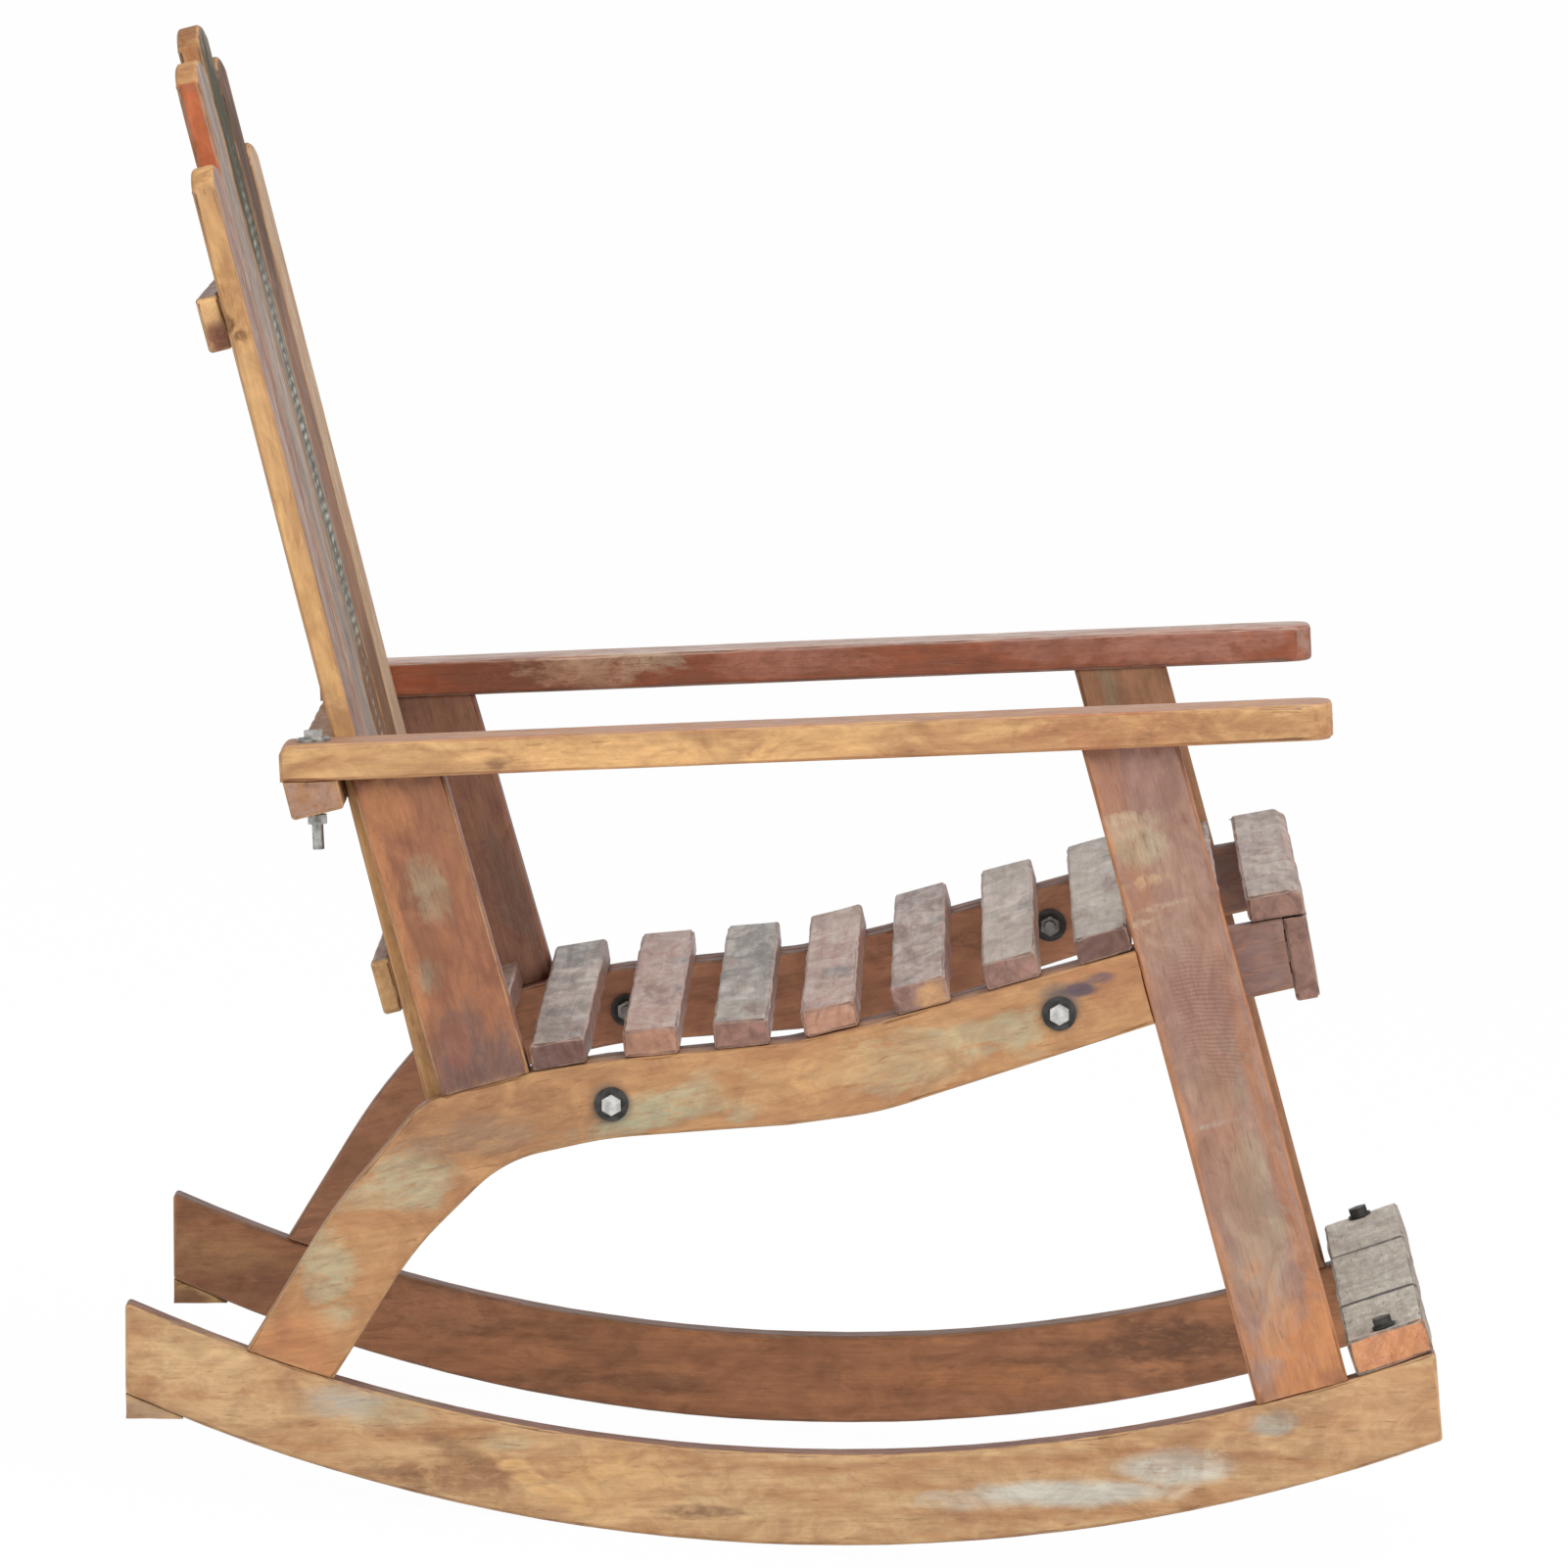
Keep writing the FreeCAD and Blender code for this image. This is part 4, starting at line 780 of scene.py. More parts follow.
RAIL_MARKS = [
    (260, 300, (90, 30, 30), BROWN, 0.55, 1.2),
    (388, 312, (50, 20, 30), PALE_GREEN, 0.85, 1.4),
    (370, 300, (60, 16, 30), MOSS, 0.5, 1.6),
    (547, 344, (60, 22, 30), PALE_GREEN, 0.5, 1.3),
    (630, 366, (26, 22, 30), PALE_GREEN, 0.7, 1.4),
    (480, 332, (90, 14, 30), GOLD, 0.5, 1.2),
    (700, 405, (50, 34, 30), SIENNA, 0.45, 1.2),
    (202, 256, (34, 24, 30), PALE_GREEN, 0.75, 1.3),
    (143, 199, (26, 50, 30), PALE_GREEN, 0.7, 1.4),
    (170, 222, (24, 22, 30), HONEY, 0.5, 1.2),
    (236, 286, (44, 14, 30), DULL_BROWN, 0.75, 1.4),
    (434, 326, (36, 12, 30), AMBER, 0.5, 1.4),
    (598, 362, (34, 14, 30), PALE_GREEN, 0.5, 1.5),
    (118, 140, (34, 34, 30), ORANGE, 0.75, 1.0),
    (104, 180, (10, 60, 30), SIENNA, 0.6, 1.2),
    (654, 382, (17, 16, 12), SLATE, 0.85, 0.35),
    (668, 393, (15, 6.5, 12), BOLT_STAIN, 1.1, 0.4),
    (683, 401, (12, 4.5, 12), FAINT_BOLT_STAIN, 0.8, 0.6),
    (340, 313, (16, 16, 12), SLATE, 0.8, 0.3),
]
ROCKER_MARKS = [
    (668, 38, (74, 11, 30), PALE_BLUE, 1.1, 0.5),
    (738, 56, (42, 13, 30), PALE_BLUE, 0.95, 0.6),
    (590, 33, (40, 8, 30), PALE_BLUE, 0.5, 1.2),
    (804, 86, (18, 10, 30), BLUE_GREY, 0.8, 0.8),
    (152, 100, (32, 13, 30), PEBBLE, 0.85, 1.0),
    (190, 94, (34, 14, 30), PALE_GREEN, 0.4, 1.4),
    (83, 95, (60, 14, 30), STRAW, 0.6, 1.2),
    (225, 46, (56, 16, 30), BROWN, 0.65, 1.5),
    (207, 82, (13, 4.5, 30), BROWN, 0.40, 0.9),
    (216, 77.5, (13, 5, 30), UMBER, 0.40, 0.9),
    (225, 73, (13, 5, 30), UMBER, 0.45, 0.9),
    (234, 68, (13, 5.5, 30), UMBER, 0.45, 0.9),
    (243, 62.5, (13, 5.5, 30), UMBER, 0.45, 0.9),
    (252, 56.5, (13, 5, 30), UMBER, 0.45, 0.9),
    (260, 50, (12, 4.5, 30), BROWN, 0.40, 0.9),
    (268, 72, (22, 7, 30), PALE_GREEN, 0.45, 1.2),
    (272, 57, (12, 5, 30), GOLD, 0.9, 0.5),
    (283, 48, (13, 5, 30), GOLD, 0.9, 0.5),
    (295, 39, (14, 5, 30), GOLD, 0.9, 0.5),
    (308, 31, (14, 5, 30), GOLD, 0.8, 0.6),
    (430, 28, (34, 8, 30), STRAW, 0.6, 1.2),
    (338, 20, (24, 5, 30), STRAW, 0.6, 1.2),
    (300, 22, (34, 6, 30), TAN, 0.6, 1.5),
    (50, 132, (46, 26, 30), STRAW, 0.7, 1.3),
    (330, 44, (50, 24, 30), GOLD, 0.6, 1.2),
    (192, 52, (36, 8, 30), UMBER, 0.5, 1.6),
    (480, 16, (90, 12, 30), STRAW, 0.5, 1.3),
    (398, 24, (30, 4, 30), UMBER, 0.7, 1.4),
    (560, 20, (60, 6, 30), BROWN, 0.35, 1.6),
    (885, 104, (44, 40, 30), WARM_TAN, 0.75, 1.1),
    (770, 66, (60, 12, 30), BROWN, 0.45, 1.6),
    (820, 100, (26, 14, 30), BROWN, 0.45, 1.4),
]
LEG_MARKS = [
    (700, 560, (60, 40, 30), DUSKY_ROSE, 0.8, 1.0),
    (702, 500, (70, 12, 30), SIENNA, 0.5, 1.3),
    (707, 510, (9, 22, 30), CREAM, 0.55, 1.2),
    (712, 492, (15, 20, 30), PALE_GREEN, 0.5, 1.5),
    (735, 430, (20, 28, 30), CREAM, 0.35, 1.6),
    (752, 380, (60, 22, 30), DUSTY_MAUVE, 0.45, 1.3),
    (716, 470, (5, 26, 30), STRAW, 0.5, 1.9),
    (726, 452, (3, 18, 30), CREAM, 0.6, 1.9),
    (712, 440, (3, 14, 30), CREAM, 0.5, 1.9),
    (700, 515, (4, 20, 30), CREAM, 0.5, 1.9),
    (768, 300, (2, 18, 30), ASH, 0.6, 1.6),
    (692, 470, (130, 5, 30), ORANGE, 0.7, 1.5),
    (741, 300, (90, 5, 30), ORANGE, 0.6, 1.5),
    (776, 160, (110, 7, 30), ORANGE, 0.6, 1.5),
    (800, 290, (160, 6, 30), SIENNA, 0.6, 1.5),
    (770, 330, (30, 20, 30), MOSS, 0.25, 1.5),
    (788, 258, (44, 16, 30), GREY_GREEN, 0.55, 1.1),
    (802, 210, (40, 14, 30), DULL_GREEN, 0.45, 1.2),
    (775, 280, (110, 12, 30), SIENNA, 0.35, 1.4),
    (745, 400, (70, 26, 30), DUSKY_MAUVE, 0.5, 1.3),
    (840, 130, (70, 44, 30), ORANGE, 1.2, 1.0),
    (795, 205, (60, 20, 30), DUN, 0.5, 1.4),
]
POST_MARKS = [
    (212, 462, (22, 13, 30), DRAB, 0.65, 1.2),
    (213, 400, (16, 10, 30), MOSS, 0.5, 1.4),
    (190, 440, (110, 9, 30), ORANGE, 0.6, 1.4),
    (170, 470, (70, 8, 30), UMBER, 0.4, 1.6),
    (245, 335, (44, 40, 30), DEEP_MAUVE, 1.0, 1.0),
    (236, 350, (20, 12, 30), BRICK, 0.6, 1.4),
    (180, 520, (26, 26, 30), ORANGE, 0.5, 1.1),
]


FAR_ROCKER_MARKS = [
    (745, 64, (60, 26, 30), BURNT_BROWN, 0.85, 1.3),
    (672, 44, (70, 10, 30), UMBER, 0.5, 1.5),
    (590, 34, (80, 12, 30), ORANGE, 0.7, 1.4),
    (330, 30, (70, 10, 30), UMBER, 0.6, 1.6),
    (200, 70, (70, 12, 30), UMBER, 0.45, 1.6),
    (60, 106, (50, 10, 30), RED_BROWN, 0.6, 1.5),
    (31, 128, (50, 18, 30), HONEY, 0.45, 1.3),
    (199, 84, (60, 16, 30), COPPER, 0.5, 1.3),
]
FAR_RAIL_MARKS = [
    (150, 190, (80, 60, 30), BROWN, 0.5, 1.2),
    (500, 330, (160, 14, 30), SIENNA, 0.6, 1.4),
]
FAR_LEG_MARKS = [
    (665, 555, (50, 8, 30), AMBER, 0.8, 1.2),
    (690, 560, (50, 8, 30), MOSS, 0.4, 1.2),
]
FAR_POST_MARKS = [(250, 410, (60, 20, 30), SOOT_BROWN, 0.6, 1.4)]
LEG_SAW = {
    "centre": on_chair(NEAR, 765, 215),
    "pitch": 3.0,
    "broken": 0.30,
    "strength": 0.55,
    "shade": RED_BROWN,
    "spot": on_chair(NEAR, 757, 382),
    "radii": (52, 20, 30),
}

# Marks on the inner seat rails

RAIL_END_MARKS = [(792, 414, (70, 60, 20), PLUM, 0.95, 0.7)]
RAIL_SHADE_MARKS = [
    (600, 362, (50, 10, 40), UMBER, 0.6, 1.5),
    (420, 322, (60, 9, 40), UMBER, 0.6, 1.6),
]
RAIL_INSIDE_MARKS = [
    (526, 342, (70, 12, 20), COPPER, 0.6, 1.3),
    (792, 414, (60, 40, 20), DARK_PLUM, 0.9, 0.8),
]


def side_boards():
    """Rockers, rails, legs, posts and blocks of both side frames."""
    bent = {"curved": True}
    board(
        "rocker_right", "golden_board", "y", LEAN, "x",
        (STRAW, AMBER), (MAUVE, DEEP_MAUVE), (STRAW, HONEY),
        marks_at(NEAR, ROCKER_MARKS), shape=bent, pitch=15, heart=(0.1, 0.05, 0.02),
        stain=(AMBER, 0.45), wear=0.5, grime=0.5, grime_colour=BROWN, gloss=0.46,
    )
    board(
        "rocker_left", "golden_board", "y", LEAN, "x",
        (CHESTNUT, DARK_CHESTNUT), (DEEP_MAUVE, UMBER), (HONEY, AMBER),
        marks_at(FAR, FAR_ROCKER_MARKS), shape=bent, pitch=13, heart=heart(),
        stain=(UMBER, 0.5), wear=0.5, worn=AMBER,
    )
    board(
        "side_rail_right", "golden_board", "y", RAIL_LEAN, "x",
        (HONEY, AMBER), (AMBER, UMBER), (HONEY, AMBER),
        marks_at(NEAR, RAIL_MARKS), shape=bent, pitch=16, heart=(0.2, 0.06, 0.02),
        tones=(0.30, 0.18, 0.18, 0.30), stain=(SIENNA, 0.4), wear=0.35,
        grime=0.4, grime_colour=BROWN, gloss=0.42,
    )
    board(
        "side_rail_left", "golden_board", "y", RAIL_LEAN, "x",
        (RUSSET, DARK_RUSSET), (RED_BROWN, DARK_RED), (HONEY, AMBER),
        marks_at(FAR, FAR_RAIL_MARKS), shape=bent, pitch=12, heart=heart(),
        stain=(RED_BROWN, 0.5), wear=0.35, worn=AMBER,
    )
    board(
        "front_leg_right", "painted_board", "z", LEG_LEAN, "x",
        (ROSE, MAUVE), (ORANGE, RUST), (AMBER, UMBER),
        marks_at(NEAR, LEG_MARKS), tones=(0.30, 0.16, 0.10, 0.44), heart=heart(),
        stain=(SIENNA, 0.35), wear=0.8, worn=ORANGE, grime_colour=RED_BROWN, gloss=0.34,
        saw=LEG_SAW,
    )
    board(
        "front_leg_left", "painted_board", "z", LEG_LEAN, "x",
        (FAWN, BROWN), (AMBER, UMBER), (AMBER, UMBER),
        marks_at(FAR, FAR_LEG_MARKS), heart=heart(),
        stain=(UMBER, 0.4), wear=0.5, worn=ORANGE,
    )
    board(
        "rear_post_right", "red_brown_board", "z", POST_LEAN, "x",
        (SIENNA, RED_BROWN), (RUST, DARK_RED), (AMBER, UMBER),
        marks_at(NEAR, POST_MARKS), heart=heart(),
        stain=(BROWN, 0.45), wear=0.75, worn=HONEY, grime_colour=DARK_RED, gloss=0.34,
    )
    board(
        "rear_post_left", "red_brown_board", "z", POST_LEAN, "x",
        (COCOA, DARK_COCOA), (RED_BROWN, DARK_RED), (AMBER, UMBER),
        marks_at(FAR, FAR_POST_MARKS), heart=heart(),
        stain=(UMBER, 0.4), wear=0.5, worn=RUST,
    )
    rail_marks = marks_at(INNER_NEAR, RAIL_END_MARKS)
    rail_marks += marks_at(FAR, RAIL_SHADE_MARKS) + marks_at(INNER_FAR, RAIL_INSIDE_MARKS)
    for side, pair in (("right", (BLEACHED, TAN)), ("left", (AMBER, UMBER))):
        board(
            f"tail_block_{side}", "golden_board", "y", LEAN, "x",
            pair, (AMBER, UMBER), (HONEY, UMBER), heart=heart(),
        )
        board(
            f"seat_rail_{side}", "red_brown_board", "y", RAIL_LEAN, "x",
            (COPPER, DARK_COPPER), (DEEP_MAUVE, DARK_RED), (MAUVE, DEEP_MAUVE),
            rail_marks, shape=bent, heart=heart(),
            stain=(RED_BROWN, 0.45), wear=0.6, worn=AMBER,
        )


NEAR_ARM_MARKS = [
    (205, 548, (90, 30, 14), HONEY, 0.6, 1.3),
    (262, 552, (9, 6, 6), UMBER, 0.7, 1.2),
    (540, 562, (26, 14, 14), AMBER, 0.6, 1.4),
    (350, 556, (90, 12, 14), BRIGHT_GOLD, 0.7, 1.4),
    (490, 563, (50, 12, 14), BRIGHT_GOLD, 0.6, 1.4),
    (610, 565, (70, 12, 14), RUSTY_HONEY, 0.7, 1.3),
    (690, 578, (70, 14, 14), SIENNA, 0.75, 1.4),
    (780, 575, (60, 14, 14), AMBER, 0.6, 1.4),
]
FAR_ARM_MARKS = [
    (250, 562, (80, 24, 16), RED_BROWN, 0.7, 1.2),
    (338, 578, (70, 7, 14), CREAM, 0.75, 1.7),
    (309, 566, (36, 9, 14), PALE_COPPER, 0.8, 1.4),
    (453, 573, (56, 14, 14), PINK_RUST, 0.8, 1.3),
    (740, 585, (120, 22, 16), DUSTY_RED, 0.75, 1.3),
    (838, 585, (14, 20, 20), RUST, 0.95, 0.4),
]
ARM_SAW = {
    "centre": on_chair(FAR, 740, 1400),
    "pitch": 4.2,
    "broken": 0.48,
    "strength": 0.30,
    "shade": CREAM,
    "spot": on_chair(FAR, 740, 582),
    "radii": (110, 26, 20),
}


def arm_boards():
    """Arms and the crossbar under their rear ends."""
    board(
        "arm_right", "golden_board", "y", ARM_LEAN, "z",
        (MAUVE, AMBER), (GOLD, AMBER), (HONEY, AMBER),
        marks_at(ARM_NEAR, NEAR_ARM_MARKS), heart=(0.25, 0.06, 0.05),
        tones=(0.22, 0.16, 0.46, 0.22), stain=(HONEY, 0.3), wear=0.55, worn=HONEY,
        grime=0.6, grime_colour=RUST, gloss=0.38,
    )
    board(
        "arm_left", "red_brown_board", "y", ARM_LEAN, "z",
        (GREY_MAUVE, MAUVE), (RUST, RED_BROWN), (RUST, RED_BROWN),
        marks_at(FAR, FAR_ARM_MARKS), heart=heart(),
        wear=0.6, worn=ROSE, grime_colour=DARK_RED, gloss=0.32, saw=ARM_SAW,
    )
    board(
        "arm_crossbar", "golden_board", "x", BACK_LEAN, "y",
        (HONEY, UMBER), (HONEY, AMBER), (ROSE, AMBER),
        heart=(0.4, 0.03, 0.03), pitch=6, wear=0.4,
    )


# Looks of the seat slats, from the rear: lean of the top, tops, near ends, tint of the saw

SLAT_LOOKS = [
    ("rear_seat_slat", 6.0, (ASH, DEEP_MAUVE), (DEEP_MAUVE, DARK_RED), SLATE),
    ("seat_slat_1", 9.19, (GREY_MAUVE, SLATE), (DEEP_MAUVE, DARK_RED), SLATE),
    ("seat_slat_2", 5.61, (GREY_MAUVE, MAUVE), (SALMON, DARK_SALMON), MAUVE),
    ("seat_slat_3", 5.61, (ASH, SLATE), (WARM_MAUVE, DARK_MAUVE), SLATE),
    ("seat_slat_4", 13.44, (GREY_MAUVE, MAUVE), (CORAL, DARK_CORAL), MAUVE),
    ("seat_slat_5", 15.69, (GREY_MAUVE, DEEP_MAUVE), (MAUVE, DEEP_MAUVE), SLATE),
    ("seat_slat_6", 15.69, (GREY_MAUVE, STONE), (MAUVE, DEEP_MAUVE), STONE),
    ("seat_slat_7", 15.69, (ASH, STONE), (DEEP_MAUVE, DARK_RED), STONE),
    ("seat_slat_8", 10.12, (ASH, DEEP_MAUVE), (DEEP_MAUVE, DARK_RED), STONE),
    ("nose_slat", 10.12, (ASH, DEEP_MAUVE), (MAUVE, DEEP_MAUVE), STONE),
]
SLAT_SHAPE = {"wave": 0.9, "chip": 1.1, "reach": 26}
STROKES = ((SLATE, 0.9), (ASH, 0.6), (UMBER, 0.7), (SLATE, 1.0), (DEEP_MAUVE, 0.8))

# Radii of the dark near ends, and of the honey corner of one slat, which lies
# a little forward of its middle, in millimetres. The strokes of dirt lie
# between the near end and STROKES_END, in metres.

END_RADII = (9, 60, 9)
HONEY_CORNER = "seat_slat_5"
CORNER_RADII = (20, 13, 14)
CORNER_FORWARD = 8
STROKES_END = 0.2
FOOTBOARD_SHAPE = {"wave": 1.0, "chip": 1.4, "reach": 22}

# Near-black lines across the footboard, painted shade of the gaps there: place and half width,
# in millimetres, strength, raggedness. Each lies under the board's highest edge by the drop given
# below.

FOOTBOARD_GAP_SHADE = [(-130, 7, 1.2, 0.5), (120, 6, 1.0, 0.6)]
GAP_SHADE_RADII = (60, 40)
GAP_SHADE_DROP = 10


def slat_marks(name, low, high, end_colour):
    """Dark near end, and strokes of dirt at random places of the top."""
    middle = (low + high) / 2
    marks = [(Vector((low.x, middle.y, low.z)), END_RADII, end_colour, 0.6, 1.2)]
    if name == HONEY_CORNER:
        corner = Vector((low.x, middle.y - CORNER_FORWARD * MM, middle.z))
        marks.append((corner, CORNER_RADII, HONEY, 0.8, 0.6))
    for colour, strength in STROKES:
        across = random.uniform(low.x, STROKES_END)
        spot = Vector((across, random.uniform(low.y, high.y), high.z))
        marks.append((spot, (random.uniform(10, 50), 8, 12), colour, strength, 1.8))
    return marks


def seat_boards():
    """Slats with satin grey tops, rippled by the saw, and darker ends."""
    for name, slope, tops, ends, tint in SLAT_LOOKS:
        low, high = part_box(name)
        middle = (low + high) / 2
        saw = {
            "centre": middle + Vector((0.5, 0.14, 0)),
            "pitch": 9.0,
            "broken": 0.47,
            "strength": 0.8,
            "shade": tint,
            "spot": middle,
            "radii": (400, 60, 40),
        }
        board(
            name, "grey_board", "x", LEAN + slope, "z",
            tops, (MAUVE, DEEP_MAUVE), ends,
            slat_marks(name, low, high, ends[0]), shape=SLAT_SHAPE, heart=heart(),
            tones=(0.42, 0.12, 0.0, 0.46), stretch=0.45, stain=(tops[1], 0.5),
            light=SLAT_LIGHT, pore_colour=SLATE, pores=0.2, fine=0.05,
            wear=0.7, worn=ROSE, grime=0.6, grime_colour=DEEP_MAUVE,
            gloss=0.30, relief=0.28, saw=saw,
        )
    board(
        "front_apron", "mauve_board", "x", NOSE_LEAN, "y",
        (MAUVE, DEEP_MAUVE), (MAUVE, DEEP_MAUVE), (MAUVE, DEEP_MAUVE),
        shape=SLAT_SHAPE, heart=heart(), stain=(GREY_MAUVE, 0.4), wear=0.6, worn=ROSE, gloss=0.36,
    )


def foot_boards():
    """Footboard: bleached, with near-black lines of painted shade across it, and coppery ends."""
    low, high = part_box("footboard")
    middle = (low + high) / 2
    gap_shade = []
    # Painted shade: near-black lines where gaps cross the board
    for across, wide, strength, ragged in FOOTBOARD_GAP_SHADE:
        spot = Vector((across * MM, middle.y, high.z - GAP_SHADE_DROP * MM))
        gap_shade.append((spot, (wide, *GAP_SHADE_RADII), NEARLY_BLACK, strength, ragged))
    saw = {
        "centre": Vector((0.6, -0.3, 0)),
        "pitch": 6.0,
        "broken": 0.45,
        "strength": 0.4,
        "shade": SLATE,
        "spot": middle,
        "radii": (400, 80, 40),
    }
    board(
        "footboard", "grey_board", "x", FOOTBOARD_LEAN, "z",
        (PALE_BLUE, STONE), (STONE, UMBER), (COPPER, ORANGE),
        gap_shade, shape=FOOTBOARD_SHAPE, heart=heart(), stain=(ASH, 0.5), light=FOOTBOARD_LIGHT,
        wear=0.5, worn=STONE, grime=1.0, grime_colour=SLATE,
        pore_colour=NEARLY_BLACK, pores=0.5, gloss=0.46, relief=0.8, saw=saw,
    )


# Back slats from the sitter's right: front, edge and end colours, and stain

BACK_LOOKS = [
    ("back_slat_outer_right", (GREY_MAUVE, DEEP_MAUVE), (GOLD, HONEY), (GOLD, AMBER), (MAUVE, 0.4)),
    ("back_slat_inner_right", (GREY_MAUVE, SLATE), (SCARLET, RUST), (HONEY, AMBER), (STONE, 0.45)),
    ("back_slat_centre", (STONE, SLATE), (HONEY, SIENNA), (AMBER, UMBER), (OLIVE, 0.6)),
    ("back_slat_inner_left", (MAUVE, SLATE), (ORANGE, MAUVE), (AMBER, UMBER), (UMBER, 0.5)),
    ("back_slat_outer_left", (CREAM, BROWN), (HONEY, ORANGE), (AMBER, UMBER), (GREY_MAUVE, 0.4)),
]
EDGE_MARKS = [
    (67, 860, (5, 12, 6), UMBER, 1.0, 1.3),
    (73, 854, (6, 12, 8), NEARLY_BLACK, 1.1, 1.3),
    (82, 848, (5, 12, 6), NEARLY_BLACK, 0.8, 1.3),
    (77, 868, (34, 14, 12), AMBER, 0.5, 1.2),
    (60, 935, (30, 14, 12), HONEY, 0.6, 1.0),
    (120, 790, (60, 14, 5), HONEY, 0.7, 1.3),
    (150, 690, (50, 14, 5), HONEY, 0.6, 1.3),
]
CENTRE_MARKS = [
    (66, 955, (100, 60, 10), TARNISH, 1.9, 0.8),
    (118, 740, (230, 26, 12), LEAD, 1.6, 0.7),
    (165, 560, (60, 60, 30), DARK_UMBER, 1.8, 0.8),
]
INNER_LEFT_MARKS = [
    (62, 940, (110, 60, 12), PEAT, 1.6, 0.9),
    (150, 640, (160, 60, 30), BROWN, 0.6, 1.4),
    (165, 560, (60, 60, 30), DARK_UMBER, 1.8, 0.8),
]
BATTEN_LOOKS = [
    ("upper_back_batten", (AMBER, RED_BROWN), (SAWN_GOLD, GOLD)),
    ("lower_back_batten", (HONEY, AMBER), (GOLD, HONEY)),
    ("back_foot_rail", (DEEP_MAUVE, DARK_RED), (MAUVE, DEEP_MAUVE)),
]

# The upper batten is dark at the lower corner of its near end: how far in from
# the rear and up from the bottom, and the radii, in millimetres.

DARK_IN = 21
DARK_UP = 8
DARK_RADII = (16, 12, 20)


def back_boards():
    """Back slats and the boards that hold them."""
    for count, (name, faces, edges, ends, stain) in enumerate(BACK_LOOKS):
        low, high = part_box(name)
        side = (low.x + high.x) / 2 / MM
        marks = []
        saw = None
        if name == "back_slat_outer_right":
            marks = marks_at(low.x / MM, EDGE_MARKS)
        if name == "back_slat_inner_left":
            marks = marks_at(side, INNER_LEFT_MARKS)
        if name == "back_slat_centre":
            marks = marks_at(side, CENTRE_MARKS)
            saw = {
                "centre": on_chair(side, 568, -1040),
                "pitch": 8.5,
                "broken": 0.43,
                "strength": 1.0,
                "shade": CHALK,
                "spot": on_chair(side, 118, 740),
                "radii": (215, 34, 11),
            }
        board(
            name, "mauve_board", "z", BACK_LEAN, "y",
            faces, edges, ends, marks, pitch=14, heart=(0.3, 0.03 * count, 0.05),
            stain=stain, wear=0.6, worn=HONEY, grime_colour=AMBER, gloss=0.60, shine=0.12, saw=saw,
        )
    for name, faces, ends in BATTEN_LOOKS:
        low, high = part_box(name)
        marks = []
        if name == "upper_back_batten":
            corner = Vector((low.x, high.y - DARK_IN * MM, low.z + DARK_UP * MM))
            marks = [(corner, DARK_RADII, RED_BROWN, 1.1, 0.4)]
        board(
            name, "golden_board", "x", BACK_LEAN, "y",
            faces, (GREY_MAUVE, MAUVE), ends, marks, pitch=8, heart=heart(), wear=0.4,
        )


def dowel_finish():
    """Plain turned wood with short streaks."""
    material, tree, shader = new_material("dowel_wood")
    coords = tree.nodes.new("ShaderNodeTexCoord")
    streak = noise(tree, coords.outputs["Object"], 260, 4, 0.6)
    feed(tree, shader.inputs["Base Color"], mixed(tree, streak, HONEY, AMBER))
    feed(tree, shader.inputs["Roughness"], calc(tree, "MULTIPLY_ADD", streak, 0.2, 0.5))
    return material


# Half width in metres of the sideways ramp that brings in the painted shade of the left-side
# fittings
FAR_SHADE_RAMP = 0.1
RUST_DULLS = 0.7
SMUDGE_DULLS = 0.18
SCRATCH_STRENGTH = 0.25
SCRATCH_DEPTH = 0.1 * MM


def steel_finish(name, clean, smudged, rust, gloss, metallic=1.0, far_shade=0.0):
    """Handled steel. The last argument tells how strongly painted shade darkens the fittings on the
    chair's left side.
    """
    material, tree, shader = new_material(name)
    coords = tree.nodes.new("ShaderNodeTexCoord")
    marks = placed(tree, STEEL_MARKS, Place=coords.outputs["Object"])
    colour = mixed(tree, marks["Smudge"], clean, smudged)
    colour = mixed(tree, calc(tree, "MULTIPLY", marks["Rust"], rust), colour, RUST_SPOT)
    # Painted shade: fittings on the chair's left side, which lie in shade, are darkened towards a
    # dark grey by their sideways place
    sideways = split(tree, coords.outputs["Object"])[0]
    dirt = ramped(tree, sideways, -FAR_SHADE_RAMP, FAR_SHADE_RAMP, 0.0, far_shade)
    colour = mixed(tree, dirt, colour, FAR_SHADE_GREY)
    feed(tree, shader.inputs["Base Color"], colour)
    rough = calc(tree, "MULTIPLY_ADD", marks["Smudge"], SMUDGE_DULLS, gloss)
    feed(tree, shader.inputs["Roughness"], rough)
    duller = -RUST_DULLS * rust * metallic
    metal = calc(tree, "MULTIPLY_ADD", marks["Rust"], duller, metallic, clamp=True)
    feed(tree, shader.inputs["Metallic"], metal)
    relief(tree, shader, marks["Scratch"], SCRATCH_STRENGTH, SCRATCH_DEPTH)
    return material


BRIGHT_FITTINGS = ("side_bolts", "side_bolt_nuts")
DULL_FITTINGS = ("arm_bolts", "arm_bolt_washers", "arm_bolt_nuts")
DARK_FITTINGS = (
    "side_bolt_washers", "tail_block_nails", "footboard_coach_screws", "footboard_washers",
    "upper_batten_screws", "lower_batten_screws", "foot_rail_screws", "crossbar_screws",
)


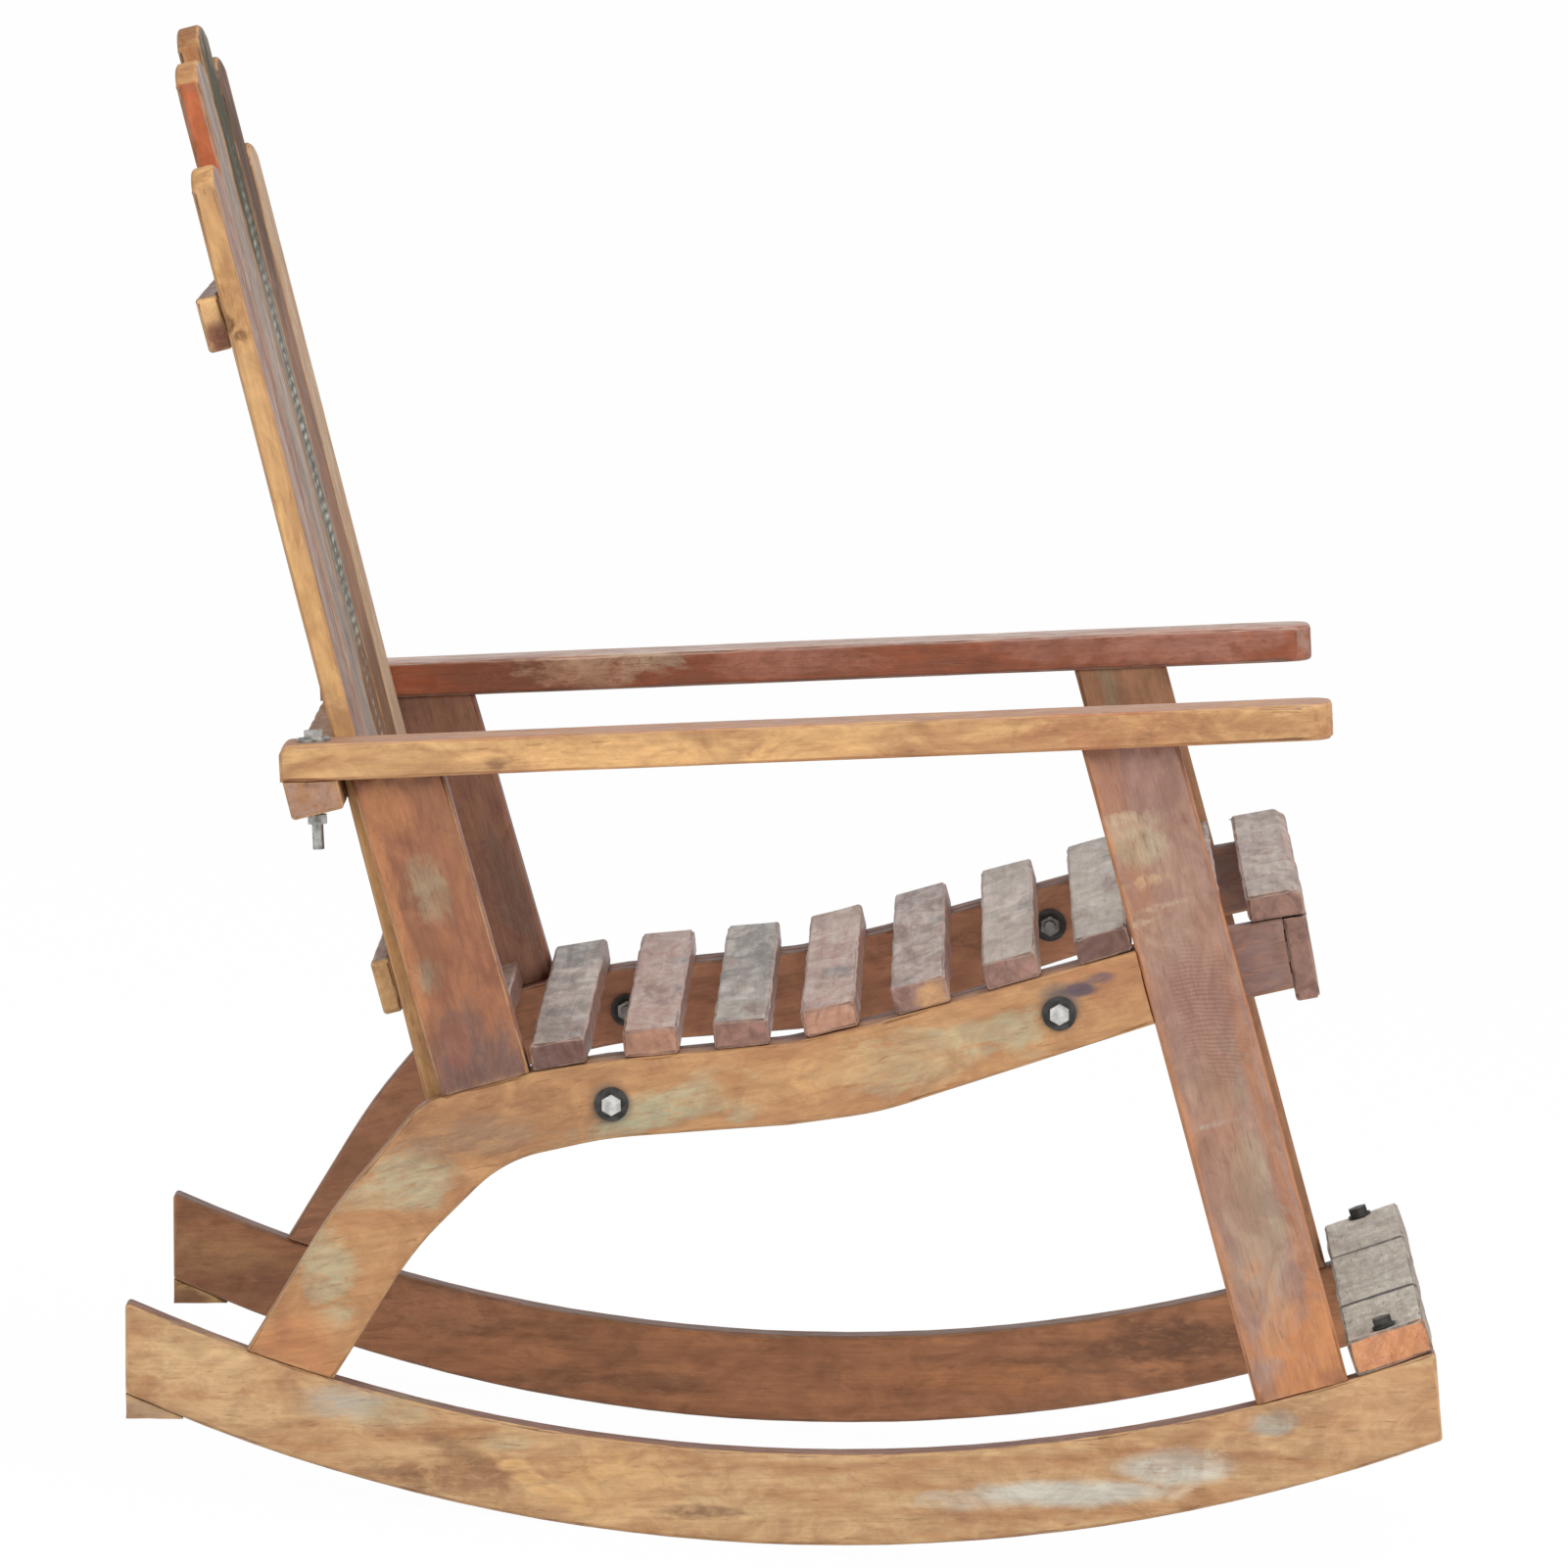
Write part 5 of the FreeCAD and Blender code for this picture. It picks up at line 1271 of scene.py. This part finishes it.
def fittings():
    """Finishes of the bolts, screws, nails and dowels."""
    # The bright bolts and nuts on the chair's left side get painted shade
    bright = steel_finish(
        "zinc_plated_steel", ZINC, SMUDGED_ZINC, rust=0.25, gloss=0.28, far_shade=0.75
    )
    dull = steel_finish("dull_zinc", DULL_ZINC, SMUDGED_DULL_ZINC, rust=0.4, gloss=0.34)
    dark = steel_finish(
        "blackened_steel", BLACKENED_STEEL, SMUDGED_BLACK, rust=0.5, gloss=0.42, metallic=0.6
    )
    wood = dowel_finish()
    for name in NODES:
        if "dowels" in name:
            dress(name, wood)
    for names, finish in ((BRIGHT_FITTINGS, bright), (DULL_FITTINGS, dull), (DARK_FITTINGS, dark)):
        for name in names:
            dress(name, finish)


# Floor, light and camera


FLOOR_HALF = 30.0
FLOOR_WHITENESS = 0.98
SOFT_LIGHT = (1, 0.99, 0.975, 1)
SOFT_STRENGTH = 0.60


def seen_rays(tree):
    """One for what the camera, metal or glass sees, and nought for light that falls on things."""
    path = tree.nodes.new("ShaderNodeLightPath")
    seen = calc(tree, "MAXIMUM", path.outputs["Is Camera Ray"], path.outputs["Is Glossy Ray"])
    return calc(tree, "MAXIMUM", seen, path.outputs["Is Transmission Ray"])


def blended(tree, factor, first, second, output_kind):
    """Mix two shaders into the tree's output."""
    blend = tree.nodes.new("ShaderNodeMixShader")
    feed(tree, blend.inputs[0], factor)
    tree.links.new(first.outputs[0], blend.inputs[1])
    tree.links.new(second.outputs[0], blend.inputs[2])
    output = tree.nodes.new(output_kind)
    tree.links.new(blend.outputs[0], output.inputs["Surface"])


def pale_floor():
    """Floor that is almost white to look at, but keeps the chair's shadow."""
    half = FLOOR_HALF
    corners = [(-half, -half, 0), (half, -half, 0), (half, half, 0), (-half, half, 0)]
    mesh = bpy.data.meshes.new("floor")
    mesh.from_pydata(corners, [], [(0, 1, 2, 3)])
    floor = bpy.data.objects.new("floor", mesh)
    bpy.context.scene.collection.objects.link(floor)
    material = bpy.data.materials.new("pale_floor")
    material.use_nodes = True
    tree = material.node_tree
    tree.nodes.clear()
    matt = tree.nodes.new("ShaderNodeBsdfDiffuse")
    coords = tree.nodes.new("ShaderNodeTexCoord")
    speck = noise(tree, coords.outputs["Object"], 3, 2)
    feed(tree, matt.inputs["Color"], mixed(tree, speck, FLOOR_GREY, FLOOR_WHITE))
    white = tree.nodes.new("ShaderNodeEmission")
    white.inputs["Strength"].default_value = 1.0
    whiteness = calc(tree, "MULTIPLY", seen_rays(tree), FLOOR_WHITENESS)
    blended(tree, whiteness, matt, white, "ShaderNodeOutputMaterial")
    mesh.materials.append(material)


def studio():
    """Soft light from all round, with a white backdrop."""
    world = bpy.data.worlds.new("studio")
    bpy.context.scene.world = world
    world.use_nodes = True
    tree = world.node_tree
    tree.nodes.clear()
    soft = tree.nodes.new("ShaderNodeBackground")
    soft.inputs["Color"].default_value = SOFT_LIGHT
    soft.inputs["Strength"].default_value = SOFT_STRENGTH
    white = tree.nodes.new("ShaderNodeBackground")
    white.inputs["Strength"].default_value = 1.0
    blended(tree, seen_rays(tree), soft, white, "ShaderNodeOutputWorld")


def lamp(name, place, aim, size, power):
    """Square lamp at a place, turned to its aim."""
    light = bpy.data.lights.new(name, "AREA")
    light.shape = "SQUARE"
    light.size = size
    light.energy = power
    item = bpy.data.objects.new(name, light)
    item.location = place
    item.rotation_euler = (Vector(aim) - Vector(place)).to_track_quat("-Z", "Y").to_euler()
    bpy.context.scene.collection.objects.link(item)


# Lamps: name, place and size in metres, and power in watts

LAMPS = [
    ("key_light", (-3.2, -2.2, 3.2), 2.2, 90),
    ("fill_light", (-2.5, 3.2, 1.6), 2.5, 28),
    ("top_light", (0.6, -0.4, 4.0), 2.5, 60),
]
LAMP_AIM = (0, 0, 0.5)


def lights():
    """Key, fill and top lamps."""
    for name, place, size, power in LAMPS:
        lamp(name, place, LAMP_AIM, size, power)


# The camera stands some 9.4 m off on the sitter's right. Its place is in metres
# and its turns in radians, all of the level chair, and it is rolled with it.

CAMERA_SIDE = -9.3965
CAMERA_BACK = -0.0851
CAMERA_HEIGHT = 1.4907
CAMERA_YAW = -0.0136
CAMERA_PITCH = 0.1044
CAMERA_LENS = 301.54
SENSOR = 36
FARTHEST = 100


def camera():
    """Camera of the picture, rolled back with the chair."""
    yaw, pitch = CAMERA_YAW, CAMERA_PITCH
    ahead = Vector(
        (math.cos(pitch) * math.cos(yaw), -math.cos(pitch) * math.sin(yaw), -math.sin(pitch))
    )
    right = ahead.cross(Vector((0, 0, 1))).normalized()
    up = right.cross(ahead)
    roll = Matrix.Rotation(-REST_LEAN, 3, "X")
    ahead, right, up = roll @ ahead, roll @ right, roll @ up
    data = bpy.data.cameras.new("camera")
    data.lens = CAMERA_LENS
    data.sensor_width = SENSOR
    data.clip_end = FARTHEST
    item = bpy.data.objects.new("camera", data)
    place = Vector((CAMERA_SIDE, *rolled(CAMERA_BACK, CAMERA_HEIGHT)))
    turn = Matrix((right, up, -ahead)).transposed().to_4x4()
    item.matrix_world = Matrix.Translation(place) @ turn
    bpy.context.scene.collection.objects.link(item)
    bpy.context.scene.camera = item


side_boards()
arm_boards()
seat_boards()
foot_boards()
back_boards()
fittings()
pale_floor()
studio()
lights()
camera()
bpy.context.scene.view_settings.view_transform = "Standard"
